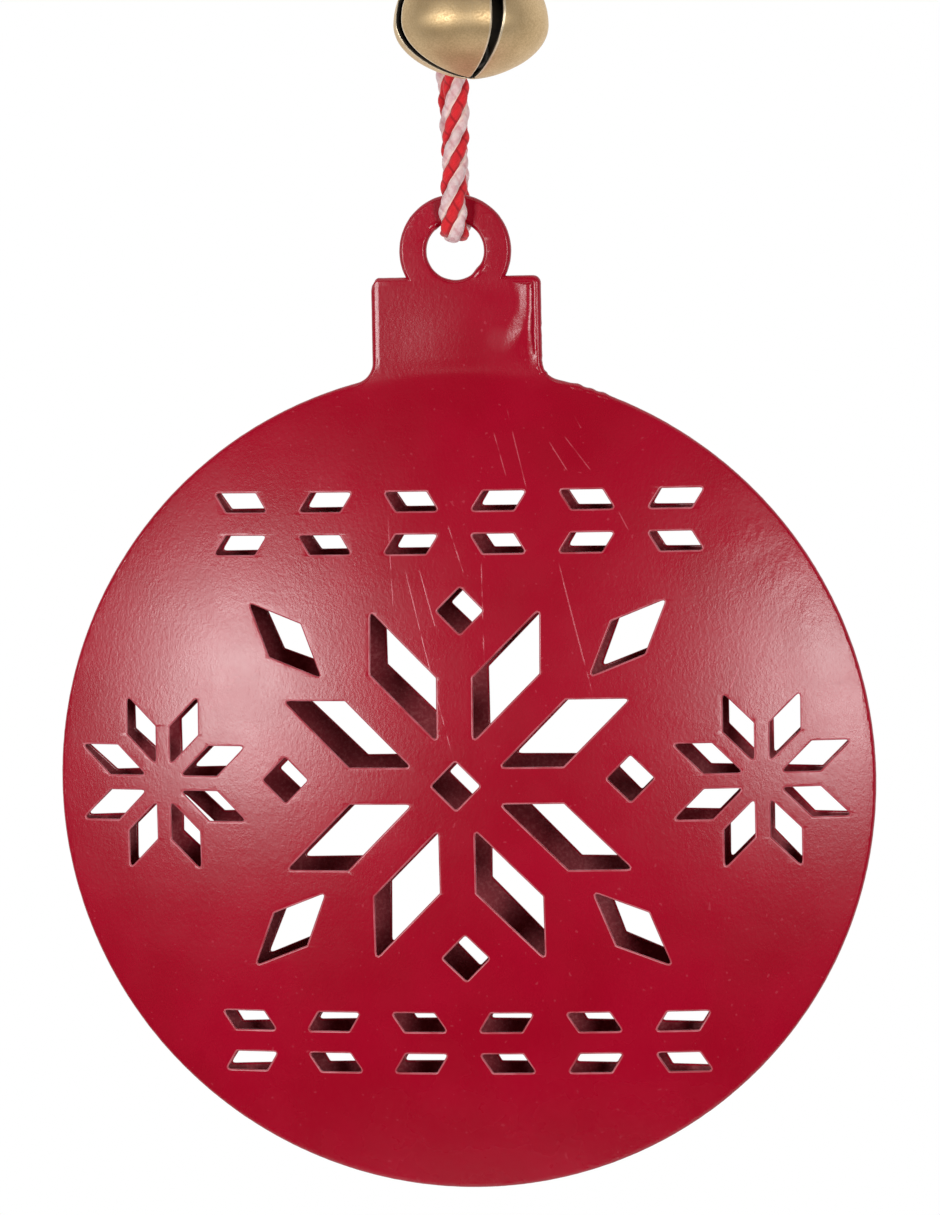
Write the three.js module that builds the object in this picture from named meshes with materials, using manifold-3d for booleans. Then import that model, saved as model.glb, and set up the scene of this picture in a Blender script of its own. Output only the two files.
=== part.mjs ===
// A pierced metal bauble on a twisted cord, with a jingle bell on the cord above it.
// Millimetres, +Z up, the patterned front faces -Y. The origin is where a hook holds the cord's loop.
import * as THREE from 'three';
import { mergeVertices } from 'three/addons/utils/BufferGeometryUtils.js';
import Module from 'manifold-3d';

const wasm = await Module();
wasm.setup();

// Running clearance between pieces that touch on the real object.
const CLEARANCE = 0.3;

// The bauble: two dished halves of pressed sheet, set back to back and welded round the rim.
const DISC_DIAMETER = 160;
const DOME_RISE = 12;
const SHEET = 0.8;
const RIM_ROUNDING = 0.7;
const DOME_RINGS = 4;
const DISC_SIDES = 40;

// The flat neck and hanging ring are one piece with each half.
const NECK_WIDTH = 33.2;
const NECK_HEIGHT = 17.8;
const NECK_CORNER = 1.6;
const NECK_FILLET = 4;
const NECK_LAP = 2;
const RING_DIAMETER = 21.9;
const RING_HOLE = 11.2;
const RING_ABOVE_NECK = 4.95;
const RING_SIDES = 14;

// The punched pattern: one large star, two small ones, corner rhombi, small squares and rows of slots.
const STAR_RIB = 7.2;
const STAR_REACH = 16.4;
const STAR_SIDE = 12.1;
const SIDE_STAR_FROM_RIM = 21.5;
const SIDE_STAR_RAISED = 0.3;
const SIDE_STAR_RIB = 3;
const SIDE_STAR_REACH = 7.3;
const SIDE_STAR_SIDE = 7.4;
const CENTRE_SQUARE = 9.4;
const SMALL_SQUARE = 9;
const SMALL_SQUARE_FROM_CENTRE = 33.6;
const SMALL_SQUARE_DRIFT = 1.1;
const RHOMBUS_LONG = 20.4;
const RHOMBUS_SHORT = 8.9;
const RHOMBUS_ACROSS = 33.4;
const RHOMBUS_UP = 28.1;
const SLOT_WIDTH = 8.2;
const SLOT_HEIGHT = 3.7;
const SLOT_LEAN = 2.3;
const SLOT_PITCH = 17;
const SLOTS_IN_ROW = 6;
const SLOT_ROWS_FROM_RIM = 29.5;
const SLOT_ROW_SPACING = 8.2;
// The back half was punched a little high, which shows through the front's holes.
const BACK_PATTERN_RAISED = 0.5;

// The cord: four plies, two red and two white.
const CORD_DIAMETER = 5;
const CORD_SIDES = 8;
const RING_LOOP_STEPS = 42;
const HANGING_LOOP_STEPS = 36;
const END_STEPS = 4;
const BIGHT_CLEARANCE = 0.2;

// The knot above the bell, and the loop above the knot.
const KNOT_ABOVE_RING = 47.25;
const KNOT_HEIGHT = 20.4;
const KNOT_DIAMETER = 20;
const KNOT_NECK_MARGIN = 1.5;
const KNOT_TURN_RADIUS = 11;
const KNOT_TURN_SIDEWAYS = 4;
const KNOT_FULLNESS = 0.6;
const KNOT_RINGS = 6;
const KNOT_SIDES = 20;
const CUT_END_LENGTH = 8;
const CUT_END_SPREAD = 32;
const CUT_END_RISE = 25;
const HANGING_LOOP_HEIGHT = 67;
const SPHERE_DETAIL = 2;

// The bell: a dome whose four petals fold in under it, a wire eye and a loose steel pellet.
const BELL_DIAMETER = 29.4;
const BELL_UPPER_HEIGHT = 14;
const BELL_LOWER_HEIGHT = 10.15;
const BELL_LOWER_POWER = 0.65;
const BELL_SHEET = 0.8;
const BELL_SIDES = 24;
const BELL_PROFILE_STEPS = 12;
const BELL_TILT = 7.6;
const BELL_SIDEWAYS = 6.5;
const BELL_BELOW_KNOT = 10.7;
const BELL_SLOT_WIDTH = 2.1;
const BELL_SLOT_FOOT_WIDTH = 1;
const BELL_SLOT_TURN = 28.1;
const BELL_SLOT_TOP = 4;
const BELL_SLOT_TAPER_START = 3.4;
const BELL_SLOT_END_DIAMETER = 3.2;
const SLOT_END_SIDES = 6;
const EYE_WIRE = 1.6;
const EYE_HOLE = 6.2;
const EYE_ABOVE_BELL = 4;
const EYE_STEM_SPACING = 2.3;
const EYE_FOOT_SPREAD = 8.8;
const EYE_MOUTH = 37;
const EYE_RING_POINTS = 13;
const EYE_STEPS = 40;
const EYE_SIDES = 6;
const PELLET_DIAMETER = 7;
const PELLET_GAP = 0.6;
const PELLET_ROLL_RADIUS = 11.5;

// Sizes that follow from the ones above.
const DISC_RADIUS = DISC_DIAMETER / 2;
const SEAM = CLEARANCE / 2;
const FLANGE_FACE = SEAM + SHEET;
const CUT_MARGIN = 1;
const NECK_TOP = DISC_RADIUS + NECK_HEIGHT;
const RING_CENTRE = NECK_TOP + RING_ABOVE_NECK;
const RING_HOLE_TOP = RING_CENTRE + RING_HOLE / 2;
const CORD_RADIUS = CORD_DIAMETER / 2;
const CORD_FLAT = CORD_RADIUS * Math.cos(Math.PI / CORD_SIDES);
const LEG_OFFSET = CORD_RADIUS + CLEARANCE / 2;
const LEGS_RADIUS = LEG_OFFSET + CORD_RADIUS;
const BIGHT_RADIUS = FLANGE_FACE + CLEARANCE + CORD_FLAT;
const KNOT_UNDERSIDE = RING_HOLE_TOP + KNOT_ABOVE_RING;
const KNOT_TOP = KNOT_UNDERSIDE + KNOT_HEIGHT;
const HANG_POINT = KNOT_TOP + HANGING_LOOP_HEIGHT - CORD_RADIUS;
const TILT = THREE.MathUtils.degToRad(BELL_TILT);
const BELL_RADIUS = BELL_DIAMETER / 2;
const BELL_HEIGHT_ON_CORD = KNOT_UNDERSIDE - BELL_BELOW_KNOT;
const BELL_BEFORE_CORD = Math.sqrt((BELL_RADIUS + CLEARANCE + LEGS_RADIUS) ** 2 - BELL_SIDEWAYS ** 2);
const EYE_RADIUS = (EYE_HOLE + EYE_WIRE) / 2;
const EYE_CENTRE = BELL_UPPER_HEIGHT + EYE_ABOVE_BELL;
const EYE_PIVOT = EYE_CENTRE + EYE_HOLE / 2 - CLEARANCE - CORD_RADIUS;

// Makes a closed solid of a geometry, so that it can be cut and joined.
function solidOf(geometry) {
  const plain = geometry.index ? geometry.toNonIndexed() : geometry.clone();
  plain.deleteAttribute('normal');
  plain.deleteAttribute('uv');
  const merged = mergeVertices(plain, 1e-5);
  const vertProperties = new Float32Array(merged.attributes.position.array);
  const triVerts = new Uint32Array(merged.index.array);
  return new wasm.Manifold(new wasm.Mesh({ numProp: 3, vertProperties, triVerts }));
}

// Turns a solid back into a geometry that a mesh can show.
function geometryOf(solid) {
  const mesh = solid.getMesh();
  const geometry = new THREE.BufferGeometry();
  geometry.setAttribute('position', new THREE.BufferAttribute(mesh.vertProperties, 3));
  geometry.setIndex(new THREE.BufferAttribute(mesh.triVerts, 1));
  geometry.computeVertexNormals();
  return geometry;
}

function outline(points) {
  return new THREE.Shape(points.map(([x, z]) => new THREE.Vector2(x, z)));
}

// A prism along Y of a shape drawn in X and Z, between two depths.
function prism(shape, near, far, curveSegments = RING_SIDES) {
  const options = { depth: far - near, bevelEnabled: false, curveSegments };
  const geometry = new THREE.ExtrudeGeometry(shape, options);
  geometry.rotateX(Math.PI / 2);
  geometry.translate(0, far, 0);
  return geometry;
}

// A round tube along a list of points.
function tube(points, radius, sides, steps) {
  const path = new THREE.CatmullRomCurve3(points.map((p) => new THREE.Vector3(...p)), false, 'centripetal');
  const section = new THREE.Shape();
  const half = Math.PI / sides;
  for (let i = 0; i < sides; i += 1) {
    const angle = half + i * 2 * half;
    const x = radius * Math.cos(angle);
    const y = radius * Math.sin(angle);
    if (i === 0) section.moveTo(x, y);
    else section.lineTo(x, y);
  }
  section.closePath();
  return new THREE.ExtrudeGeometry(section, { steps, extrudePath: path, curveSegments: 1 });
}

// How far the dome stands out at a distance from its centre.
function domeHeight(radius, edge) {
  return DOME_RISE * (1 - (radius / edge) ** 2);
}

// The dished disc, turned about Y: its outer face, rounded rim, then its inner face.
function dishedDisc(facing) {
  const outer = [];
  const inner = [];
  const innerEdge = DISC_RADIUS - SHEET;
  const outerEdge = DISC_RADIUS - RIM_ROUNDING;
  for (let i = 0; i <= DOME_RINGS; i += 1) {
    const share = i / DOME_RINGS;
    outer.push([share * outerEdge, FLANGE_FACE + domeHeight(share * outerEdge, DISC_RADIUS)]);
    inner.push([share * innerEdge, SEAM + domeHeight(share * innerEdge, innerEdge)]);
  }
  const shoulder = FLANGE_FACE - RIM_ROUNDING;
  const rim = [30, 60, 90].map((degrees) => {
    const angle = THREE.MathUtils.degToRad(degrees);
    return [outerEdge + RIM_ROUNDING * Math.sin(angle), shoulder + RIM_ROUNDING * Math.cos(angle)];
  });
  const profile = [...outer, ...rim, [DISC_RADIUS, SEAM], ...inner.reverse()];
  const points = profile.map(([radius, height]) => new THREE.Vector2(radius, facing * height));
  if (facing > 0) points.reverse();
  return solidOf(new THREE.LatheGeometry(points, DISC_SIDES));
}

// The neck and ring as one flat outline, lapping a little way under the disc's rim.
function neckOutline() {
  const half = NECK_WIDTH / 2;
  const filletX = half + NECK_FILLET;
  const filletZ = Math.sqrt((DISC_RADIUS + NECK_FILLET) ** 2 - filletX ** 2);
  const footAngle = Math.atan2(filletX, filletZ);
  const lapRadius = DISC_RADIUS - NECK_LAP;
  const ringRadius = RING_DIAMETER / 2;
  const ringFoot = Math.asin(RING_ABOVE_NECK / ringRadius);
  const shape = new THREE.Shape();
  shape.absarc(0, 0, lapRadius, Math.PI / 2 + footAngle, Math.PI / 2 - footAngle, true);
  shape.absarc(filletX, filletZ, NECK_FILLET, -Math.PI / 2 - footAngle, -Math.PI, true);
  shape.absarc(half - NECK_CORNER, NECK_TOP - NECK_CORNER, NECK_CORNER, 0, Math.PI / 2, false);
  shape.absarc(0, RING_CENTRE, ringRadius, -ringFoot, Math.PI + ringFoot, false);
  shape.absarc(-half + NECK_CORNER, NECK_TOP - NECK_CORNER, NECK_CORNER, Math.PI / 2, Math.PI, false);
  shape.absarc(-filletX, filletZ, NECK_FILLET, 0, -Math.PI / 2 + footAngle, true);
  shape.closePath();
  const hole = new THREE.Path();
  hole.absarc(0, RING_CENTRE, RING_HOLE / 2, 0, Math.PI * 2, true);
  shape.holes.push(hole);
  return shape;
}

// One leaf of a star: two sides along the rib, two sides slanting at 45 degrees.
function petal(rib, reach, side, signX, signZ, wide) {
  const inner = rib / 2;
  const slant = inner * Math.SQRT2;
  const corners = [
    [inner, inner + slant],
    [inner, inner + slant + side],
    [reach, reach + slant + side],
    [reach, reach + slant],
  ];
  return corners.map(([a, b]) => (wide ? [signX * b, signZ * a] : [signX * a, signZ * b]));
}

// A star of eight petals round a centre.
function star(centreX, centreZ, rib, reach, side) {
  const petals = [];
  for (const signX of [-1, 1]) {
    for (const signZ of [-1, 1]) {
      for (const wide of [false, true]) {
        const corners = petal(rib, reach, side, signX, signZ, wide);
        petals.push(corners.map(([x, z]) => [centreX + x, centreZ + z]));
      }
    }
  }
  return petals;
}

// A square standing on its corner.
function square(centreX, centreZ, diagonal) {
  const half = diagonal / 2;
  return [
    [centreX, centreZ + half],
    [centreX + half, centreZ],
    [centreX, centreZ - half],
    [centreX - half, centreZ],
  ];
}

// A long rhombus that points away from the centre.
function rhombus(signX, signZ) {
  const long = RHOMBUS_LONG / 2 * Math.SQRT1_2;
  const short = RHOMBUS_SHORT / 2 * Math.SQRT1_2;
  const corners = [[long, long], [short, -short], [-long, -long], [-short, short]];
  return corners.map(([x, z]) => [signX * (RHOMBUS_ACROSS + x), signZ * (RHOMBUS_UP + z)]);
}

// Two rows of slots, leaning in turn left and right, like a zigzag.
function slotRows(centreZ) {
  const slots = [];
  for (const row of [0, 1]) {
    for (let i = 0; i < SLOTS_IN_ROW; i += 1) {
      const x = (i - (SLOTS_IN_ROW - 1) / 2) * SLOT_PITCH;
      const z = centreZ + (0.5 - row) * SLOT_ROW_SPACING;
      const lean = ((i + row) % 2 === 0 ? -1 : 1) * SLOT_LEAN / 2;
      slots.push([
        [x - SLOT_WIDTH / 2 + lean, z + SLOT_HEIGHT / 2],
        [x + SLOT_WIDTH / 2 + lean, z + SLOT_HEIGHT / 2],
        [x + SLOT_WIDTH / 2 - lean, z - SLOT_HEIGHT / 2],
        [x - SLOT_WIDTH / 2 - lean, z - SLOT_HEIGHT / 2],
      ]);
    }
  }
  return slots;
}

// Every punched hole, as outlines in X and Z.
function patternHoles() {
  const far = SMALL_SQUARE_FROM_CENTRE;
  const drift = SMALL_SQUARE_DRIFT;
  const holes = [
    ...star(0, 0, STAR_RIB, STAR_REACH, STAR_SIDE),
    square(0, 0, CENTRE_SQUARE),
    square(drift, far, SMALL_SQUARE),
    square(drift, -far, SMALL_SQUARE),
    square(-far, drift, SMALL_SQUARE),
    square(far, drift, SMALL_SQUARE),
    ...slotRows(DISC_RADIUS - SLOT_ROWS_FROM_RIM),
    ...slotRows(SLOT_ROWS_FROM_RIM - DISC_RADIUS),
  ];
  for (const sign of [-1, 1]) {
    holes.push(rhombus(sign, -1), rhombus(sign, 1));
    const centreX = sign * (DISC_RADIUS - SIDE_STAR_FROM_RIM);
    holes.push(...star(centreX, SIDE_STAR_RAISED, SIDE_STAR_RIB, SIDE_STAR_REACH, SIDE_STAR_SIDE));
  }
  return holes;
}

// One pressed half with its neck, ring and punched holes. facing is -1 for the front, 1 for the back.
function baubleHalf(facing, patternRaised) {
  const near = Math.min(facing * SEAM, facing * FLANGE_FACE);
  const tab = prism(neckOutline(), near, near + SHEET);
  let half = dishedDisc(facing).add(solidOf(tab));
  const reach = facing * (DOME_RISE + FLANGE_FACE + CUT_MARGIN);
  const [low, high] = [Math.min(0, reach), Math.max(0, reach)];
  for (const corners of patternHoles()) {
    const raised = corners.map(([x, z]) => [x, z + patternRaised]);
    half = half.subtract(solidOf(prism(outline(raised), low, high)));
  }
  return geometryOf(half);
}

// The cord's route through the ring: down in front, round under the ring's top bar, up behind.
// Its points are chosen by hand: sideways bow, distance before or behind the ring, and height
// as a share of the way up from the ring's hole to the knot.
function ringLoopRoute() {
  const bightCentre = RING_HOLE_TOP + BIGHT_CLEARANCE;
  const rise = KNOT_UNDERSIDE - CLEARANCE - bightCentre;
  const at = (share) => bightCentre + share * rise;
  const away = (share) => LEG_OFFSET + share * (BIGHT_RADIUS - LEG_OFFSET);
  const front = [
    [0, -away(0), at(1)],
    [0.4, -away(0), at(0.84)],
    [0.7, -away(0), at(0.68)],
    [0.7, -away(0), at(0.51)],
    [0.5, -away(0.3), at(0.36)],
    [0.3, -away(0.7), at(0.23)],
    [0.1, -away(1), at(0.12)],
    [0, -away(1), at(0)],
  ];
  const bight = [30, 60, 90, 120, 150].map((degrees) => {
    const angle = THREE.MathUtils.degToRad(degrees);
    return [0, -BIGHT_RADIUS * Math.cos(angle), bightCentre - BIGHT_RADIUS * Math.sin(angle)];
  });
  const back = [
    [0, away(1), at(0)],
    [-0.1, away(1), at(0.12)],
    [-0.3, away(0.7), at(0.23)],
    [-0.5, away(0.3), at(0.36)],
    [-0.7, away(0), at(0.51)],
    [-1.3, away(0), at(0.68)],
    [-0.8, away(0), at(0.84)],
    [0, away(0), at(1)],
  ];
  return [...front, ...bight, ...back];
}

// One of the cord's two cut ends, standing out of the back of the knot.
function cutEnd(side) {
  const spread = THREE.MathUtils.degToRad(CUT_END_SPREAD) * side;
  const rise = THREE.MathUtils.degToRad(CUT_END_RISE);
  const root = new THREE.Vector3(0, KNOT_DIAMETER / 4, KNOT_TOP - KNOT_HEIGHT / 2);
  const out = new THREE.Vector3(Math.sin(spread), Math.cos(spread), Math.tan(rise)).normalize();
  const reach = KNOT_DIAMETER / 4 + CUT_END_LENGTH;
  const points = [0, 0.5, 1].map((share) => root.clone().addScaledVector(out, share * reach).toArray());
  return solidOf(tube(points, CORD_RADIUS, CORD_SIDES, END_STEPS));
}

// The knot: a lump on its own flat faces, with one turn standing out in front to carry the bell,
// and the cord's two cut ends behind.
function knot() {
  const belly = KNOT_DIAMETER / 2;
  const neck = LEGS_RADIUS + KNOT_NECK_MARGIN;
  const profile = [new THREE.Vector2(0, 0)];
  for (let i = 0; i <= KNOT_RINGS; i += 1) {
    const bulge = Math.abs(Math.sin(Math.PI * i / KNOT_RINGS)) ** KNOT_FULLNESS;
    profile.push(new THREE.Vector2(neck + (belly - neck) * bulge, KNOT_HEIGHT * i / KNOT_RINGS));
  }
  profile.push(new THREE.Vector2(0, KNOT_HEIGHT));
  const lump = new THREE.LatheGeometry(profile, KNOT_SIDES);
  lump.rotateX(Math.PI / 2);
  lump.translate(0, 0, KNOT_UNDERSIDE);
  const turn = new THREE.TorusGeometry(KNOT_TURN_RADIUS, CORD_RADIUS, CORD_SIDES, KNOT_SIDES);
  const eye = bellPoint(EYE_PIVOT);
  const sideways = eye.x - KNOT_TURN_SIDEWAYS;
  const behind = Math.sqrt(KNOT_TURN_RADIUS ** 2 - sideways ** 2);
  turn.translate(KNOT_TURN_SIDEWAYS, eye.y + behind, eye.z);
  return geometryOf(solidOf(lump).add(solidOf(turn)).add(cutEnd(-1)).add(cutEnd(1)));
}

// The loop that goes over the hook, from the knot's top and back into it.
// Its points are chosen by hand: half width, and height as a share of the loop's height.
function hangingLoopRoute() {
  const start = KNOT_TOP + CLEARANCE;
  const rise = HANG_POINT - start;
  const side = [
    [LEG_OFFSET, 0],
    [3.2, 0.08],
    [5.4, 0.2],
    [8.3, 0.36],
    [10.8, 0.52],
    [12.2, 0.66],
    [12, 0.81],
    [10.4, 0.91],
    [6, 0.975],
  ];
  const right = side.map(([x, share]) => [x, 0, start + share * rise]);
  const left = right.map(([x, y, z]) => [-x, y, z]).reverse();
  return [...right, [0, 0, HANG_POINT], ...left];
}

// A point on the bell's own axis, in the part's frame; the bell leans against the cord.
function bellPoint(height) {
  const y = height * Math.sin(TILT) - BELL_BEFORE_CORD;
  const z = height * Math.cos(TILT) + BELL_HEIGHT_ON_CORD;
  return new THREE.Vector3(BELL_SIDEWAYS, y, z);
}

// A closed egg, upright on its own axis: half an ellipse above its girth, and below it a half
// that is drawn in to a blunt point. A power of 0.5 would make the lower half an ellipse too.
function egg(inset) {
  const radius = BELL_RADIUS - inset;
  const upper = BELL_UPPER_HEIGHT - inset;
  const lower = BELL_LOWER_HEIGHT - inset;
  const points = [];
  for (let i = 0; i <= BELL_PROFILE_STEPS; i += 1) {
    const angle = Math.PI * (i / BELL_PROFILE_STEPS - 0.5);
    const height = Math.sin(angle) * (angle > 0 ? upper : lower);
    const power = angle > 0 ? 1 : 2 * BELL_LOWER_POWER;
    const onAxis = i === 0 || i === BELL_PROFILE_STEPS;
    points.push(new THREE.Vector2(onAxis ? 0 : radius * Math.cos(angle) ** power, height));
  }
  const geometry = new THREE.LatheGeometry(points, BELL_SIDES);
  geometry.rotateX(Math.PI / 2);
  return solidOf(geometry);
}

// A slot right across the bell's underside, wider at the girth and ending in round holes above it.
function bellSlot(turn) {
  const foot = BELL_SLOT_FOOT_WIDTH / 2;
  const half = BELL_SLOT_WIDTH / 2;
  const under = -BELL_LOWER_HEIGHT - CUT_MARGIN;
  const sides = outline([
    [-foot, under],
    [foot, under],
    [half, -BELL_SLOT_TAPER_START],
    [half, BELL_SLOT_TOP],
    [-half, BELL_SLOT_TOP],
    [-half, -BELL_SLOT_TAPER_START],
  ]);
  const end = new THREE.Shape();
  end.absarc(0, BELL_SLOT_TOP, BELL_SLOT_END_DIAMETER / 2, 0, Math.PI * 2, false);
  const cuts = [sides, end].map((shape) => {
    const cut = prism(shape, -BELL_DIAMETER, BELL_DIAMETER, SLOT_END_SIDES);
    cut.rotateZ(THREE.MathUtils.degToRad(turn));
    return solidOf(cut);
  });
  return cuts[0].add(cuts[1]);
}

function bellShell() {
  const stemHole = (EYE_STEM_SPACING + EYE_WIRE) / 2 + CLEARANCE;
  const drill = new THREE.CylinderGeometry(stemHole, stemHole, BELL_UPPER_HEIGHT, RING_SIDES);
  drill.rotateX(Math.PI / 2);
  drill.translate(0, 0, BELL_UPPER_HEIGHT);
  const hollow = egg(0).subtract(egg(BELL_SHEET)).subtract(solidOf(drill));
  const slots = bellSlot(BELL_SLOT_TURN).add(bellSlot(BELL_SLOT_TURN - 90));
  return geometryOf(hollow.subtract(slots));
}

// The wire eye: a ring on two stems, with feet bent out under the bell's crown.
function bellEye() {
  const stem = EYE_STEM_SPACING / 2;
  const foot = EYE_FOOT_SPREAD / 2;
  const crown = BELL_UPPER_HEIGHT - BELL_SHEET;
  const under = CLEARANCE + EYE_WIRE / 2;
  const footHeight = crown * Math.sqrt(1 - (foot / (BELL_RADIUS - BELL_SHEET)) ** 2) - under;
  const opening = THREE.MathUtils.degToRad(EYE_MOUTH);
  const ring = [];
  for (let i = 0; i < EYE_RING_POINTS; i += 1) {
    const share = i / (EYE_RING_POINTS - 1);
    const angle = -Math.PI / 2 - opening - (Math.PI * 2 - 2 * opening) * share;
    ring.push([0, EYE_RADIUS * Math.cos(angle), EYE_CENTRE + EYE_RADIUS * Math.sin(angle)]);
  }
  const left = [
    [0, -foot, footHeight],
    [0, -stem - EYE_WIRE * 0.75, crown - under - CLEARANCE],
    [0, -stem, crown],
    [0, -stem, BELL_UPPER_HEIGHT],
  ];
  const right = left.map(([x, y, z]) => [x, -y, z]).reverse();
  return tube([...left, ...ring, ...right], EYE_WIRE / 2, EYE_SIDES, EYE_STEPS);
}

const colours = {
  crimson: new THREE.MeshStandardMaterial({ color: 0xa00420, roughness: 0.42, metalness: 0.1 }),
  cord: new THREE.MeshStandardMaterial({ color: 0xdc6a6e, roughness: 0.9, metalness: 0 }),
  gold: new THREE.MeshStandardMaterial({ color: 0xb69a68, roughness: 0.35, metalness: 1 }),
  steel: new THREE.MeshStandardMaterial({ color: 0x8c8a86, roughness: 0.3, metalness: 1 }),
};

const ornament = new THREE.Group();

function place(name, geometry, material, parent = ornament) {
  const mesh = new THREE.Mesh(geometry, material);
  mesh.name = name;
  parent.add(mesh);
  return mesh;
}

place('front_shell', baubleHalf(-1, 0), colours.crimson);
place('back_shell', baubleHalf(1, BACK_PATTERN_RAISED), colours.crimson);

const cord = (route, steps) => tube(route, CORD_RADIUS, CORD_SIDES, steps);
place('cord_ring_loop', cord(ringLoopRoute(), RING_LOOP_STEPS), colours.cord);
place('cord_knot', knot(), colours.cord);
place('cord_hanging_loop', cord(hangingLoopRoute(), HANGING_LOOP_STEPS), colours.cord);

const bell = new THREE.Group();
bell.position.copy(bellPoint(0));
bell.rotation.x = -TILT;
ornament.add(bell);
place('bell_shell', bellShell(), colours.gold, bell);
place('bell_eye', bellEye(), colours.gold, bell);

// The pellet rolls round a circle that keeps it clear of the bell's floor, and rests at its lowest
// point, straight below the circle's centre.
const floorHeight = BELL_SHEET - BELL_LOWER_HEIGHT;
const rollCentre = bellPoint(floorHeight + PELLET_GAP + PELLET_DIAMETER / 2 + PELLET_ROLL_RADIUS);
const ball = new THREE.IcosahedronGeometry(PELLET_DIAMETER / 2, SPHERE_DETAIL);
const pellet = place('bell_pellet', ball, colours.steel);
pellet.position.copy(rollCentre);
pellet.position.z -= PELLET_ROLL_RADIUS;

// Everything above is measured from the disc's centre; the whole hangs from the hook.
ornament.position.z = -(HANG_POINT - CORD_RADIUS);

export default ornament;
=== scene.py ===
# %% [markdown]
# A flat Christmas bauble of pressed red metal hangs on a twisted red and white cord, with a jingle
# bell on the cord above it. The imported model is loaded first, as a fixed frame in metres. Every
# piece made below stands where that frame says, and takes over from one of its plain solids.

# %% Load the frame
import math

import bpy
from mathutils import Euler, Matrix, Vector, noise


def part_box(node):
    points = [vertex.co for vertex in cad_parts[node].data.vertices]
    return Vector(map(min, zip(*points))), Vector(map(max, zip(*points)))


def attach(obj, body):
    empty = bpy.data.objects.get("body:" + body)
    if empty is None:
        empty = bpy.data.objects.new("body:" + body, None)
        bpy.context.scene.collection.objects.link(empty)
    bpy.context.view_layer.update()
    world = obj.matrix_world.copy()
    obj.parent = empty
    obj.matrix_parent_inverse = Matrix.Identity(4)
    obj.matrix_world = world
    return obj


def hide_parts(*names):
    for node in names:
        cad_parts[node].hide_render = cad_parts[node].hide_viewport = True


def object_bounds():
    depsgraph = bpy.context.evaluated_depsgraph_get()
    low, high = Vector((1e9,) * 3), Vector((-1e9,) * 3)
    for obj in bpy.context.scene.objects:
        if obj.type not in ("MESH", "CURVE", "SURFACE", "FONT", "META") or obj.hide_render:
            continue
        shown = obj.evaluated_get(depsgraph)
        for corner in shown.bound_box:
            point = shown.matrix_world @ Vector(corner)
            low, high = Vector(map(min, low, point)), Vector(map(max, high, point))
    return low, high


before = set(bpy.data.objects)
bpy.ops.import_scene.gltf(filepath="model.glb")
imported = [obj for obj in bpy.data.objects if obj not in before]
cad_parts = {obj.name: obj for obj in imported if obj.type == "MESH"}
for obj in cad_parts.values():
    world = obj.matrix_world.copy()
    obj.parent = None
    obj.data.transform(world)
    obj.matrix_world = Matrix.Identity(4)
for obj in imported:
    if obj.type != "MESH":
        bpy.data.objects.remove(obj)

cad_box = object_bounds()
scene = bpy.context.scene
MM = 0.001
print("pieces in the frame:", sorted(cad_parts))

# %% [markdown]
# All heights hang from one point: the disc's centre. The frame gives it, because the front shell's
# lowest point is one disc radius below it.

# %% Where the disc is
shell_low, shell_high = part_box("front_shell")
DISC_RADIUS = (shell_high[0] - shell_low[0]) / 2 / MM
CENTRE = shell_low[2] / MM + DISC_RADIUS
print("disc radius", round(DISC_RADIUS, 2), "mm, centre at", round(CENTRE, 2), "mm")


def place(x, y, height):
    """A point in metres, from millimetres with heights counted from the disc's centre."""
    return Vector((x * MM, y * MM, (CENTRE + height) * MM))


# %% [markdown]
# The camera stands about a metre away, a little to the object's right and a little above it, and
# the picture is turned by about one degree. A long lens keeps the disc round.

# %% Camera
CAMERA_PLACE = (134.2, -946.8, 90.9)
CAMERA_TURN = 7.97
CAMERA_DOWN = 3.43
CAMERA_ROLL = -1.03
LENS = 146.1
SENSOR_WIDTH = 36
NEAREST_SEEN = 0.01
camera_data = bpy.data.cameras.new("camera")
camera_data.sensor_width = SENSOR_WIDTH
camera_data.lens = LENS
camera_data.clip_start = NEAREST_SEEN
camera = bpy.data.objects.new("camera", camera_data)
scene.collection.objects.link(camera)
turned = Euler((math.radians(90 - CAMERA_DOWN), 0, math.radians(CAMERA_TURN))).to_matrix()
turned = turned @ Matrix.Rotation(math.radians(CAMERA_ROLL), 3, "Z")
camera.matrix_world = Matrix.Translation(place(*CAMERA_PLACE)) @ turned.to_4x4()
scene.camera = camera
print("camera at", [round(v, 4) for v in camera.matrix_world.translation])

# %% [markdown]
# Some helpers are used by every piece. An operator acts on all that is selected, so one helper
# selects a single object, and others draw curves, apply modifiers and name the finished piece.

# %% Helpers
def select_only(piece):
    """Nothing but this piece is selected and active."""
    bpy.ops.object.select_all(action="DESELECT")
    piece.select_set(True)
    bpy.context.view_layer.objects.active = piece


def add_object(name, data):
    """A new object of the scene, made of this data."""
    piece = bpy.data.objects.new(name, data)
    scene.collection.objects.link(piece)
    return piece


def set_all(thing, settings):
    for key, value in settings.items():
        setattr(thing, key, value)


def mesh_from_curve(name, outlines, closed=True, **settings):
    """Draws outlines as one curve with these settings, and turns the curve into a mesh."""
    curve = bpy.data.curves.new(name, "CURVE")
    set_all(curve, settings)
    for outline in outlines:
        spline = curve.splines.new("POLY")
        spline.points.add(len(outline) - 1)
        for point, spot in zip(spline.points, outline):
            point.co = (*Vector(spot).to_3d(), 1)
        spline.use_cyclic_u = closed
    select_only(add_object(name, curve))
    bpy.ops.object.convert(target="MESH")
    return bpy.context.view_layer.objects.active


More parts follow.
